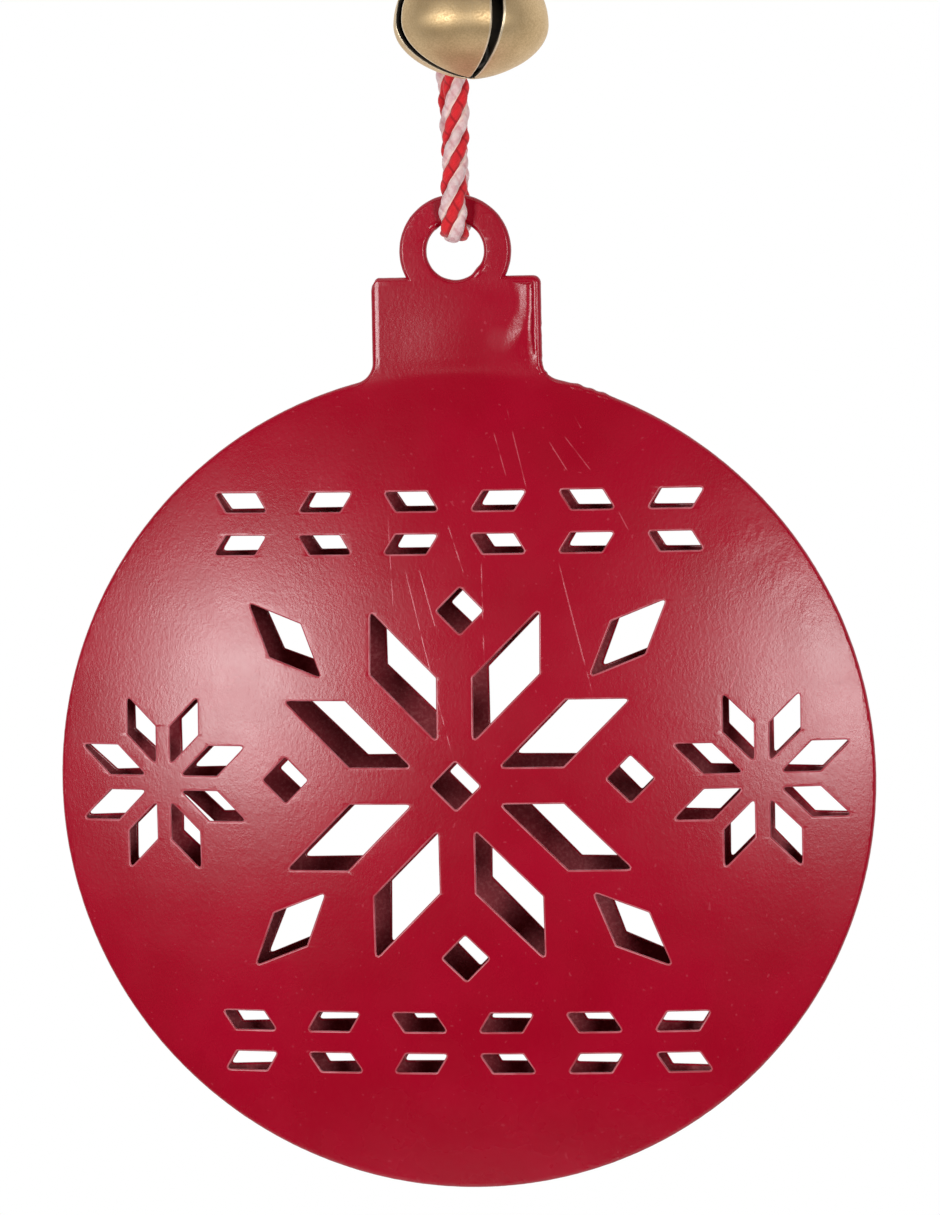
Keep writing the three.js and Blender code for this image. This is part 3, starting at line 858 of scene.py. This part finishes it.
# %% [markdown]
# The two halves are welded all round, and the weld is ground and painted, so that the edge of the
# bauble, neck and ring is one smooth half round. Round tubes run along the outline and round the
# ring's hole, just inside them. They give that edge and close the seam.
#
# Welding and grinding by hand leaves marks. There are three small bumps on the right shoulder, a
# ragged stretch on the neck's right side, a flat bead in the ring's hole and a tiny blob beside the
# cord. Each is a soft push on the tube's points near one spot.

# %% Marks of the weld
SHOULDER_BUMPS = [(23.4, 76.3, 0.9, 0.3), (26.0, 75.4, 0.7, 0.22), (28.4, 74.5, 0.8, 0.28)]
RING_BLOB = (-4.0, 107.6, 0.6, 0.4)
RING_BEAD = (4.6, 98.9, 1.2, 0.3)
CORNER_NICK = (-16.3, 97.0, 0.8, -0.4)
ROUGHNESS_OF_WELD = 0.035
RAGGED = 0.22
RAGGED_STARTS = (75, 79)
RAGGED_ENDS = (87, 90)
RAGGED_WITHIN = 1.6
THINNER_AT_SIDE = 0.25
LONGEST_STEP = 0.8


def closer_points(points, longest):
    """The same outline with no step longer than this."""
    dense = []
    for a, b in zip(points, points[1:] + points[:1]):
        steps = max(1, math.ceil(math.dist(a, b) / longest))
        for i in range(steps):
            dense.append((a[0] + (b[0] - a[0]) * i / steps, a[1] + (b[1] - a[1]) * i / steps))
    return dense


def weld_marks(x, z, depth):
    """How far the weld's skin is pushed out at a point, in millimetres."""
    push = ROUGHNESS_OF_WELD * uneven(x * 0.9, z * 0.9, depth)
    for mark_x, mark_z, size, height in SHOULDER_BUMPS + [RING_BLOB, RING_BEAD, CORNER_NICK]:
        push += height * math.exp(-((x - mark_x) ** 2 + (z - mark_z) ** 2) / size ** 2)
    if abs(x - NECK_WIDTH / 2) < RAGGED_WITHIN:
        fade = smooth_between(*RAGGED_STARTS, z) * (1 - smooth_between(*RAGGED_ENDS, z))
        push += RAGGED * fade * uneven(x * 1.2, z * 1.6, depth + 4)
    return push


# %% The welded edge
weld_lines = [closer_points(sheet_outline(EDGE_ROUND), LONGEST_STEP), ring_hole_edge(EDGE_ROUND)]
outer_weld = mesh_from_curve("rim_weld", weld_lines, dimensions="2D", fill_mode="NONE",
                             bevel_depth=EDGE_ROUND, bevel_resolution=5)
tidy_mesh(outer_weld, FLAT_MERGE)
normals = [vertex.normal.copy() for vertex in outer_weld.data.vertices]
for vertex, normal in zip(outer_weld.data.vertices, normals):
    x, z, depth = vertex.co + normal * weld_marks(*vertex.co)
    if depth > 0:
        depth *= 1 - THINNER_AT_SIDE * neck_side(x, z) / NECK_SIDE_BEND
    vertex.co = place(x, -depth, z)
tidy_mesh(outer_weld, ROUND_MERGE)
shade_smooth(outer_weld)
settle(outer_weld, "rim_weld", "bauble")

# %% [markdown]
# The bell is one drawn cup whose lower part was cut into four petals and folded in. A sphere with
# many rings is pulled to the bell's egg shape. Four columns of its faces are the slots: their edges
# are moved to the slots' true width, round at the top, and the faces between them are deleted. The
# skin then gets its thickness and soft lips. The narrow faces beside the slots drop in a little,
# and are numbered, because the lips get a paler gold, which is a painted highlight.

# %% Sizes of the bell
SLOT_HALF_WIDTH = 1.1
SLOT_FOOT_HALF_WIDTH = 0.5
SLOT_TURN = 28.1
SLOT_TOP = 4
SLOT_END_RADIUS = 1.4
SLOT_TAPER_START = 0.5
BELL_COLUMNS = 64
BELL_RINGS = 64
PER_PETAL = BELL_COLUMNS // 4
CLOSED_HALF_WIDTH = 0.15
SLOT_SHARES = (1.0, 1.1, 1.4, 1.0)
LIP_WIDTH = 0.3
LIP_DROP = 0.05
LIP_COLUMNS = (0, PER_PETAL - 2)
LIP_SLOT = 2
NEAR_POLE = 0.001
TIP_OPENING = math.sqrt(2) * SLOT_FOOT_HALF_WIDTH


def slot_half_width(height):
    """Half the width of a slot at a height on the bell's axis: tapered, with a round top."""
    away = abs(height - SLOT_TOP)
    round_end = math.sqrt(SLOT_END_RADIUS ** 2 - away ** 2) if away < SLOT_END_RADIUS else 0
    if height > SLOT_TOP:
        return max(CLOSED_HALF_WIDTH, round_end)
    share = max(0, (SLOT_TAPER_START - height) / (SLOT_TAPER_START + BELL_LOWER))
    return max(round_end, SLOT_HALF_WIDTH + (SLOT_FOOT_HALF_WIDTH - SLOT_HALF_WIDTH) * share)


# %% The bell's cup
def bell_height(polar):
    return math.cos(polar) * (BELL_UPPER if polar < math.pi / 2 else BELL_LOWER)


def bell_radius(polar):
    """The bell's radius at an angle down from the top: round above, drawn in to a point below."""
    return BELL_RADIUS * math.sin(polar) ** (1 if polar < math.pi / 2 else 2 * BELL_LOWER_POWER)


def bell_vertex(column, polar):
    """Place of a point of the bell, from its column and its angle down from the top."""
    if not NEAR_POLE < polar < math.pi - NEAR_POLE:
        return Vector((0, 0, BELL_UPPER if polar < 1 else -BELL_LOWER)) * MM
    height = bell_height(polar)
    radius = bell_radius(polar)
    petal, step = divmod(column, PER_PETAL)
    widest = radius * math.sin(math.pi / 4)
    halves = [slot_half_width(height) * SLOT_SHARES[slot % 4] for slot in (petal, petal + 1)]
    start, end = (math.asin(min(half, widest) / radius) for half in halves)
    span = math.pi / 2 - start - end
    lip = min(LIP_WIDTH / radius, span / (PER_PETAL - 1))
    angle = math.radians(SLOT_TURN + 90 * petal) + start
    if step == PER_PETAL - 1:
        angle += span
    elif step:
        angle += lip + (span - 2 * lip) * (step - 1) / (PER_PETAL - 3)
    if step in (0, PER_PETAL - 1) and height < SLOT_TOP:
        radius -= min(LIP_DROP, radius * 0.1)
    return Vector((radius * math.cos(angle), radius * math.sin(angle), height)) * MM


bpy.ops.mesh.primitive_uv_sphere_add(segments=BELL_COLUMNS, ring_count=BELL_RINGS,
                                     radius=BELL_RADIUS * MM)
bell_shell = bpy.context.view_layer.objects.active
wear(bell_shell, None, None, None, None)
columns = []
polars = []
for vertex in bell_shell.data.vertices:
    turn = math.degrees(math.atan2(vertex.co.y, vertex.co.x)) % 360
    columns.append(round(turn / 360 * BELL_COLUMNS) % BELL_COLUMNS)
    polars.append(math.acos(max(-1, min(1, vertex.co.z / (BELL_RADIUS * MM)))))
    vertex.co = bell_vertex(columns[-1], polars[-1])

# %% The slots and their lips
bpy.ops.object.mode_set(mode="EDIT")
bpy.ops.mesh.select_mode(type="FACE")
bpy.ops.mesh.select_all(action="DESELECT")
bpy.ops.object.mode_set(mode="OBJECT")
for face in bell_shell.data.polygons:
    down = [polars[i] for i in face.vertices]
    middle = sum(down) / len(down)
    around = {columns[i] for i in face.vertices if NEAR_POLE < polars[i] < math.pi - NEAR_POLE}
    column = max(around) if {0, BELL_COLUMNS - 1} <= around else min(around)
    between_petals = column % PER_PETAL == PER_PETAL - 1
    in_slot = between_petals and bell_height(middle) < SLOT_TOP + SLOT_END_RADIUS
    at_tip = middle > math.pi / 2 and bell_radius(max(down)) < TIP_OPENING
    face.select = in_slot or at_tip
    # The lips beside the slots get the pale gold of a painted highlight.
    if face.center.z < SLOT_TOP * MM and column % PER_PETAL in LIP_COLUMNS:
        face.material_index = LIP_SLOT
bpy.ops.object.mode_set(mode="EDIT")
bpy.ops.mesh.delete(type="FACE")
bpy.ops.mesh.select_mode(type="VERT")
bpy.ops.object.mode_set(mode="OBJECT")
print("faces left of the bell:", len(bell_shell.data.polygons))

# %% The bell's thickness
# Inner faces and slot walls take the next slots, which hold the bell's painted shade.
modify(bell_shell, "SOLIDIFY", thickness=BELL_SHEET * MM, offset=-1, material_offset=1,
       material_offset_rim=1)
modify(bell_shell, "SUBSURF", levels=1, render_levels=1)
bell_shell.data.transform(bell_place)
shade_smooth(bell_shell)
settle(bell_shell, "bell_shell_drawn", "bell", "bell_shell")

# %% [markdown]
# The bell's eye is a bent wire: a ring on two stems, with feet turned out under the crown. It is a
# curve with a round section, made a mesh.

# %% The bell's eye
EYE_STEM_SPACING = 2.3
EYE_FOOT_SPREAD = 8.8
EYE_MOUTH = 37
EYE_STEP = 0.3


def eye_route():
    """The wire's line on the bell's own axis, in millimetres."""
    stem = EYE_STEM_SPACING / 2
    foot = EYE_FOOT_SPREAD / 2
    crown = BELL_UPPER - BELL_SHEET
    under = GAP + EYE_WIRE / 2
    foot_height = crown * math.sqrt(1 - (foot / (BELL_RADIUS - BELL_SHEET)) ** 2) - under
    side = [(-foot, foot_height), (-stem - EYE_WIRE * 0.75, crown - under - GAP),
            (-stem, crown), (-stem, BELL_UPPER)]
    radius = (EYE_HOLE + EYE_WIRE) / 2
    ring = arc((0, EYE_CENTRE), radius, -90 - EYE_MOUTH, -90 + EYE_MOUTH - 360, 12)
    flat = side + ring + [(-y, z) for y, z in reversed(side)]
    return [Vector((0, y * MM, z * MM)) for y, z in flat]


eye_line, _ = even_steps(smooth_curve(eye_route()), EYE_STEP * MM)
bell_eye = mesh_from_curve("bell_eye_wire", [eye_line], closed=False, dimensions="3D",
                           bevel_depth=EYE_WIRE / 2 * MM, bevel_resolution=5, use_fill_caps=True)
bell_eye.data.transform(bell_place)
tidy_mesh(bell_eye, ROUND_MERGE)
shade_smooth(bell_eye, 50)
settle(bell_eye, "bell_eye_wire", "bell", "bell_eye")

# %% [markdown]
# The pellet is a rough drop of steel, never a true ball. A finely divided ball is dented a little.

# %% The pellet
PELLET_RADIUS = 3.4
WIDE_DENTS = (0.45, 0.12)
SMALL_DENTS = (1.7, 0.03)
pellet_low, pellet_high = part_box("bell_pellet")
pellet_middle = (Vector(pellet_low) + Vector(pellet_high)) / 2
bpy.ops.mesh.primitive_ico_sphere_add(subdivisions=5, radius=PELLET_RADIUS * MM)
pellet = bpy.context.view_layer.objects.active
for vertex in pellet.data.vertices:
    spot = vertex.co / MM
    dent = sum(deep * uneven(*(spot * often)) for often, deep in (WIDE_DENTS, SMALL_DENTS))
    vertex.co = pellet_middle + vertex.co * (1 - abs(dent) / PELLET_RADIUS)
shade_smooth(pellet)
settle(pellet, "bell_pellet_dented", "pellet", "bell_pellet")

# %% [markdown]
# Every finish is a small network of shader nodes, and so is the room. A few helpers keep the
# networks short: one adds a node and fills its sockets, others do sums, mix colours, give noise and
# turn a height into a bump.

# %% Helpers for finishes
class Network:
    """The shader nodes of a finish or of the room. The last node gives the result."""

    def __init__(self, owner, last):
        owner.use_nodes = True
        self.owner = owner
        self.tree = owner.node_tree
        self.last = self.tree.nodes[last]

    def feed(self, socket, value):
        """Links an output, or sets a plain value."""
        if isinstance(value, bpy.types.NodeSocket):
            self.tree.links.new(value, socket)
        else:
            socket.default_value = value

    def fill(self, node, sockets):
        for key, value in sockets.items():
            self.feed(node.inputs[key.replace("_", " ")], value)

    def node(self, kind, settings=None, **sockets):
        node = self.tree.nodes.new(kind)
        set_all(node, settings or {})
        self.fill(node, sockets)
        return node

    def result(self, **sockets):
        """Fills the last node and gives back what the network belongs to."""
        self.fill(self.last, sockets)
        return self.owner

    def math(self, operation, a, b=0.0, c=0.0):
        node = self.node("ShaderNodeMath", {"operation": operation})
        for socket, value in zip(node.inputs, (a, b, c)):
            self.feed(socket, value)
        return node.outputs[0]

    def times(self, a, b):
        return self.math("MULTIPLY", a, b)

    def larger(self, a, b):
        return self.math("MAXIMUM", a, b)

    def spread(self, value, low, high, to_low=0.0, to_high=1.0):
        """Maps a range to another, with soft ends."""
        node = self.node("ShaderNodeMapRange", {"interpolation_type": "SMOOTHSTEP"})
        for socket, given in zip(node.inputs, (value, low, high, to_low, to_high)):
            self.feed(socket, given)
        return node.outputs[0]

    def pick(self, share, first, second, kind="RGBA", sockets=(6, 7), output=2):
        """A mix of two colours, or of two values where kind says so."""
        node = self.node("ShaderNodeMix", {"data_type": kind})
        for index, value in zip((0, *sockets), (share, first, second)):
            self.feed(node.inputs[index], value)
        return node.outputs[output]

    def noise(self, where, scale, detail=2.0, roughness=0.5):
        return self.node("ShaderNodeTexNoise", Vector=where, Scale=scale, Detail=detail,
                         Roughness=roughness).outputs[0]

    def patches(self, noise, low, high, first, second):
        """Colours that follow a noise from one to the other between two of its values."""
        return self.pick(self.spread(noise, low, high), first, second)

    def mapped(self, kind, where, **sockets):
        """Coordinates scaled and turned (POINT), or counted from a spot in its sizes (TEXTURE)."""
        settings = {"vector_type": kind}
        return self.node("ShaderNodeMapping", settings, Vector=where, **sockets).outputs[0]

    def split(self, where):
        return self.node("ShaderNodeSeparateXYZ", Vector=where).outputs

    def object_place(self):
        return self.node("ShaderNodeTexCoord").outputs["Object"]

    def bumps(self, *layers):
        """Bumps on bumps, each with its height, its strength and its depth in millimetres."""
        normal = None
        for height, strength, depth in layers:
            depth *= MM
            node = self.node("ShaderNodeBump", Height=height, Strength=strength, Distance=depth)
            if normal:
                self.feed(node.inputs["Normal"], normal)
            normal = node.outputs[0]
        return normal


def finish(name):
    return Network(bpy.data.materials.new(name), "Principled BSDF")


# %% [markdown]
# The bauble is powder coated. The powder melts to a semi-gloss skin with a fine orange peel, a few
# pale specks, and hair-fine scratches from handling. Where the sheet was dented the coat is dull or
# crumpled. The holes' lips get a paler red, which is a painted highlight, and the inner faces a
# dark red with dust, which is painted shade.

# %% Crimson coat
CRIMSON = (0.385, 0.0, 0.0175, 1)
CRIMSON_DEEP = (0.355, 0.0, 0.0145, 1)
SCRATCH_PINK = (0.62, 0.10, 0.14, 1)
# Painted shade: the dark reds of the sheets' inner faces, with a paler dusty red.
INSIDE_SHADE = (0.20, 0.006, 0.016, 1)
INSIDE_SHADE_DUSTY = (0.30, 0.05, 0.06, 1)
# Painted highlight: the paler reds of the holes' lips.
LIP_HIGHLIGHT_PALE = (0.56, 0.13, 0.16, 1)
LIP_HIGHLIGHT_RED = (0.43, 0.04, 0.06, 1)
DULL_PATCH = (8.5, 85.5, 9, 9)
DULL_ROUGHNESS = 0.52
SCRATCHES = [(7.4, 67.8, 10.1, 58.8), (9.8, 72.6, 14.0, 56.5), (18.1, 65.8, 21.8, 60.0),
             (21.0, 66.8, 26.3, 60.0), (22.9, 70.7, 24.3, 68.1), (5.3, 43.3, 5.9, 23.1),
             (20.0, 43.3, 26.6, 17.3), (31.5, 52.3, 34.4, 46.8), (-1.3, 50.3, 2.0, 40.6),
             (54.4, 22.1, 52.5, 17.7), (-13.0, 52.3, -11.6, 31.6), (-9.7, 42.5, -0.4, 5.6),
             (-6.8, 41.9, -3.5, 30.3)]
SCRATCH_WIDTH = 0.13
CRUMPLES = [(13.5, 83.5, 7, 7), (15.2, 77.2, 2.6, 2.0), (56.5, 46.5, 11, 7), (63, 40, 10, 10),
            (68, 31, 7, 12)]
PATCH_BEFORE = 10
PATCH_DEPTH = 20
SPECKS_SHOW = 0.22
SCRATCHES_SHOW = 0.7


def scratch_mask(coat, where):
    """1 on a few long scratches, given by their ends in millimetres, and 0 elsewhere."""
    gaps = coat.spread(coat.noise(where, 240.0), 0.38, 0.56)
    total = 0.0
    for x0, z0, x1, z1 in SCRATCHES:
        middle = place((x0 + x1) / 2, 0, (z0 + z1) / 2)
        lean = math.atan2(x1 - x0, z1 - z0)
        half = math.dist((x0, z0), (x1, z1)) / 2 * MM
        wide = SCRATCH_WIDTH * MM
        x, _, z = coat.split(coat.mapped("TEXTURE", where, Location=middle, Rotation=(0, lean, 0)))
        beside = coat.spread(coat.math("ABSOLUTE", x), wide, 0.3 * wide)
        along = coat.spread(coat.math("ABSOLUTE", z), half, 0.8 * half)
        total = coat.larger(total, coat.times(beside, along))
    in_front = coat.math("LESS_THAN", coat.split(where)[1], 0.0)
    return coat.times(coat.times(total, gaps), in_front)


def patch_mask(coat, where, x, z, wide, tall):
    """1 in the middle of an oval patch of the front, 0 outside it, sizes in millimetres."""
    local = coat.mapped("TEXTURE", where, Location=place(x, -PATCH_BEFORE, z),
                        Scale=(wide * MM, PATCH_DEPTH * MM, tall * MM))
    far = coat.node("ShaderNodeVectorMath", {"operation": "LENGTH"}, Vector=local)
    return coat.spread(far.outputs["Value"], 1.0, 0.15)


def crimson_coat():
    coat = finish("crimson_coat")
    where = coat.object_place()
    colour = coat.patches(coat.noise(where, 55.0, 3.0), 0.35, 0.65, CRIMSON, CRIMSON_DEEP)
    specks = coat.spread(coat.noise(where, 1300.0, 0.0), 0.80, 0.84)
    scratches = scratch_mask(coat, where)
    marks = coat.larger(coat.times(specks, SPECKS_SHOW), coat.times(scratches, SCRATCHES_SHOW))
    grain = coat.noise(where, 2700.0, 2.0, 0.7)
    lean = (0, math.radians(35), 0)
    across = coat.mapped("POINT", where, Rotation=lean, Scale=(1500, 1300, 950))
    ripples = coat.noise(across, 1.0, 3.0, 0.55)
    lean = (0, math.radians(28), 0)
    across = coat.mapped("POINT", where, Rotation=lean, Scale=(520, 520, 300))
    folds = coat.noise(across, 1.0, 3.0, 0.6)
    crumpled = 0.0
    for patch in CRUMPLES:
        crumpled = coat.larger(crumpled, patch_mask(coat, where, *patch))
    rough = coat.spread(coat.noise(where, 120.0, 3.0), 0.3, 0.7, 0.255, 0.285)
    dull = coat.times(patch_mask(coat, where, *DULL_PATCH), DULL_ROUGHNESS)
    normal = coat.bumps((grain, 0.5, 0.04), (ripples, 0.32, 0.08),
                        (coat.times(folds, crumpled), 0.4, 0.3), (scratches, 0.4, 0.04))
    return coat.result(Base_Color=coat.pick(marks, colour, SCRATCH_PINK), Normal=normal,
                       Roughness=coat.larger(rough, dull), Specular_IOR_Level=0.45)


def crimson_inside_shaded():
    """The coat on the sheets' inner faces: a dark red that is painted shade, with patches of dust.
    """
    coat = finish("crimson_inside_shaded")
    dust = coat.noise(coat.object_place(), 1500.0, 3.0, 0.7)
    colour = coat.patches(dust, 0.4, 0.75, INSIDE_SHADE, INSIDE_SHADE_DUSTY)
    return coat.result(Base_Color=colour, Roughness=0.6, Normal=coat.bumps((dust, 0.5, 0.06)),
                       Specular_IOR_Level=0.3)


def crimson_lip_highlight():
    """The coat on the holes' rounded lips, in a paler red that is a painted highlight."""
    coat = finish("crimson_lip_highlight")
    where = coat.object_place()
    colour = coat.patches(coat.noise(where, 260.0), 0.3, 0.7, LIP_HIGHLIGHT_PALE, LIP_HIGHLIGHT_RED)
    normal = coat.bumps((coat.noise(where, 1900.0), 0.4, 0.02))
    return coat.result(Base_Color=colour, Roughness=0.34, Normal=normal)


coats = (crimson_coat(), crimson_inside_shaded(), crimson_lip_highlight())
wear(front_shell, *coats)
wear(back_shell, *coats)
wear(outer_weld, coats[0])

# %% [markdown]
# The cord's colours come from its own map: the first number counts round the four plies, so its
# quarter tells the ply. Each ply is spun from fine fibres, which a stretched noise gives as a bump
# and as small changes of colour.

# %% Twisted cord
CORD_RED = (0.84, 0.028, 0.036, 1)
CORD_RED_DARK = (0.66, 0.012, 0.022, 1)
CORD_RED_SHADE = (0.30, 0.003, 0.010, 1)
CORD_WHITE = (0.75, 0.44, 0.46, 1)
CORD_WHITE_PALE = (0.86, 0.66, 0.66, 1)
CORD_WHITE_SHADE = (0.60, 0.22, 0.24, 1)
CORD_CREAM = (0.96, 0.74, 0.66, 1)


def twisted_cord():
    """Red and white plies in turn, with painted shade in the valleys between the yarns and at the
    red plies' edges.
    """
    cord = finish("twisted_cord")
    ply_map = cord.node("ShaderNodeUVMap", {"uv_map": "plies"}).outputs[0]
    around, turns, _ = cord.split(ply_map)
    around = cord.math("MULTIPLY_ADD", around, PLIES, 0.5)
    from_ply = cord.math("SUBTRACT", cord.math("FRACT", around), 0.5)
    is_white = cord.math("MODULO", cord.math("FLOOR", around), 2.0)
    along = cord.times(turns, TWIST_LENGTH / YARN_LENGTH)
    phase = cord.math("MULTIPLY_ADD", from_ply, YARN_SKEW, along)
    ridge = cord.math("ABSOLUTE", cord.math("SINE", cord.times(phase, math.pi)))
    valley = cord.spread(ridge, 0.45, 0.0)
    edge = cord.spread(cord.math("ABSOLUTE", from_ply), 0.28, 0.42)
    skew = (0, 0, math.radians(-32))
    spun = cord.mapped("POINT", ply_map, Rotation=skew, Scale=(60, 22, 1))
    fibres = cord.noise(spun, 1.0, 3.0, 0.65)
    soft = cord.noise(cord.object_place(), 800.0, 3.0)
    red = cord.patches(fibres, 0.3, 0.7, CORD_RED_DARK, CORD_RED)
    # Painted shade: the red darkens in the yarns' valleys and at its edges, the white in the
    # valleys.
    red = cord.pick(cord.times(valley, 0.75), red, CORD_RED_SHADE)
    red = cord.pick(cord.times(edge, 0.6), red, CORD_RED_SHADE)
    white = cord.patches(soft, 0.35, 0.65, CORD_WHITE, CORD_WHITE_PALE)
    white = cord.pick(cord.times(valley, 0.45), white, CORD_WHITE_SHADE)
    white = cord.pick(cord.times(edge, 0.7), white, CORD_CREAM)
    return cord.result(Base_Color=cord.pick(is_white, red, white), Roughness=0.85,
                       Normal=cord.bumps((fibres, 0.8, 0.16), (soft, 0.5, 0.2)),
                       Sheen_Weight=0.25, Sheen_Roughness=0.5, Specular_IOR_Level=0.25)


cord_finish = twisted_cord()
for piece in (ring_loop, hanging_loop, knot_turns):
    wear(piece, cord_finish)

# %% [markdown]
# The bell is plated a soft bronze gold. The plating is satin, with a fine grain and a slightly
# darker tone where fingers have been. The lips of its slots get a paler gold, which is a painted
# highlight, and its inside and slot walls a near-black brown, which is painted shade. The pellet's
# steel is painted near black too, as painted shade, because it lies in the bell's shade.

# %% Bell and pellet metals
BELL_GOLD = (0.74, 0.545, 0.305, 1)
BELL_SHADE = (0.56, 0.39, 0.20, 1)
# Painted highlight: the pale golds of the slots' lips.
BELL_LIP_HIGHLIGHT = (0.88, 0.74, 0.54, 1)
BELL_LIP_HIGHLIGHT_DARKER = (0.78, 0.62, 0.42, 1)
# Painted shade: the near-black browns inside the bell.
BELL_INSIDE_SHADE = (0.045, 0.030, 0.014, 1)
BELL_INSIDE_SHADE_DARKER = (0.015, 0.010, 0.006, 1)
# Painted shade: the pellet's steel is near black because it lies in the bell's shade.
STEEL_SHADED = (0.11, 0.10, 0.09, 1)
STEEL_SHADED_DARK = (0.05, 0.045, 0.04, 1)


def plated_metal(name, light, dark, rough_low, rough_high):
    """A satin metal with wide patches and fine flecks of the darker colour."""
    metal = finish(name)
    where = metal.object_place()
    tone = metal.spread(metal.noise(where, 160.0, 3.0), 0.35, 0.7)
    grain = metal.noise(where, 2800.0, 2.0, 0.7)
    flecks = metal.spread(grain, 0.35, 0.65)
    tone = metal.math("ADD", metal.times(tone, 0.5), metal.times(flecks, 0.5))
    return metal.result(Base_Color=metal.pick(tone, light, dark), Metallic=1.0,
                        Roughness=metal.spread(grain, 0.3, 0.7, rough_low, rough_high),
                        Normal=metal.bumps((grain, 0.5, 0.05)))


def shaded_bell_inside():
    """The inside of the bell and its slot walls: a near-black brown that is painted shade, dull."""
    metal = finish("bell_inside_shade")
    blotches = metal.noise(metal.object_place(), 400.0, 3.0)
    colour = metal.patches(blotches, 0.3, 0.7, BELL_INSIDE_SHADE, BELL_INSIDE_SHADE_DARKER)
    return metal.result(Base_Color=colour, Roughness=0.8, Normal=metal.bumps((blotches, 0.2, 0.1)))


bell_metal = plated_metal("bell_brass", BELL_GOLD, BELL_SHADE, 0.46, 0.58)
bell_lips_highlight = plated_metal("bell_lips_highlight", BELL_LIP_HIGHLIGHT, BELL_LIP_HIGHLIGHT_DARKER, 0.40, 0.55)
bell_inside_shade = shaded_bell_inside()
wear(bell_shell, bell_metal, bell_inside_shade, bell_lips_highlight, bell_inside_shade)
wear(bell_eye, bell_metal)
wear(pellet, plated_metal("pellet_steel", STEEL_SHADED, STEEL_SHADED_DARK, 0.3, 0.5))

# %% [markdown]
# The studio has two soft boxes, about 30 degrees to each side of the bauble, because the gloss on
# the dome shows two broad lights there and darkness between them. The room behind the bauble is
# white, and so is what the camera sees past it. A white ceiling glows in the top of the coat, and a
# pale round floor lies below.

# %% Soft boxes
BOX_AWAY = 1.0
BOX_SIDE = 31
BOX_UP = 4.5
BOX_WIDE = 0.24
BOX_TALL = 0.33
LEFT_POWER = 5.5
RIGHT_POWER = 4.8


def soft_box(name, side, power):
    """A rectangular light that looks at the disc's centre, from this many degrees to the side."""
    light = bpy.data.lights.new(name, "AREA")
    light.shape = "RECTANGLE"
    light.size = BOX_WIDE
    light.size_y = BOX_TALL
    light.energy = power
    turn = math.radians(side)
    up = math.radians(BOX_UP)
    away = Vector((math.sin(turn) * math.cos(up), -math.cos(turn) * math.cos(up), math.sin(up)))
    lamp = add_object(name, light)
    lamp.location = place(0, 0, 0) + away * BOX_AWAY
    lamp.rotation_euler = away.to_track_quat("Z", "Y").to_euler()


soft_box("soft_box_left", -BOX_SIDE, LEFT_POWER)
soft_box("soft_box_right", BOX_SIDE, RIGHT_POWER)

# %% The white room
ROOM_BEHIND = 1.0
ROOM_BEFORE = 0.01
ROOM_TURNS_BRIGHT = (-0.4, 0.45)
CEILING = 1.1
CEILING_STARTS = (0.72, 0.95)


def white_room():
    """White behind and above the bauble and dark before it. The camera sees plain white."""
    room = Network(bpy.data.worlds.new("room"), "Background")
    ways = room.split(room.node("ShaderNodeTexCoord").outputs["Generated"])
    walls = room.spread(ways[1], *ROOM_TURNS_BRIGHT, ROOM_BEFORE, ROOM_BEHIND)
    ceiling = room.spread(ways[2], *CEILING_STARTS, 0.0, CEILING)
    seen = room.node("ShaderNodeLightPath").outputs["Is Camera Ray"]
    light = room.pick(seen, room.larger(walls, ceiling), 1.0, "FLOAT", (2, 3), 0)
    return room.result(Strength=light, Color=(1, 1, 1, 1))


scene.world = white_room()

# %% The floor
FLOOR_BELOW = 0.5
FLOOR_RADIUS = 0.5
FLOOR_PALE = (0.9, 0.9, 0.9, 1)
bpy.ops.mesh.primitive_circle_add(vertices=96, radius=FLOOR_RADIUS, fill_type="NGON",
                                  location=(0, 0, cad_box[0][2] - FLOOR_BELOW))
floor = bpy.context.view_layer.objects.active
floor.name = "floor"
wear(floor, finish("pale_floor").result(Base_Color=FLOOR_PALE, Roughness=0.9))

# %% Colour as it is written
scene.view_settings.view_transform = "Standard"
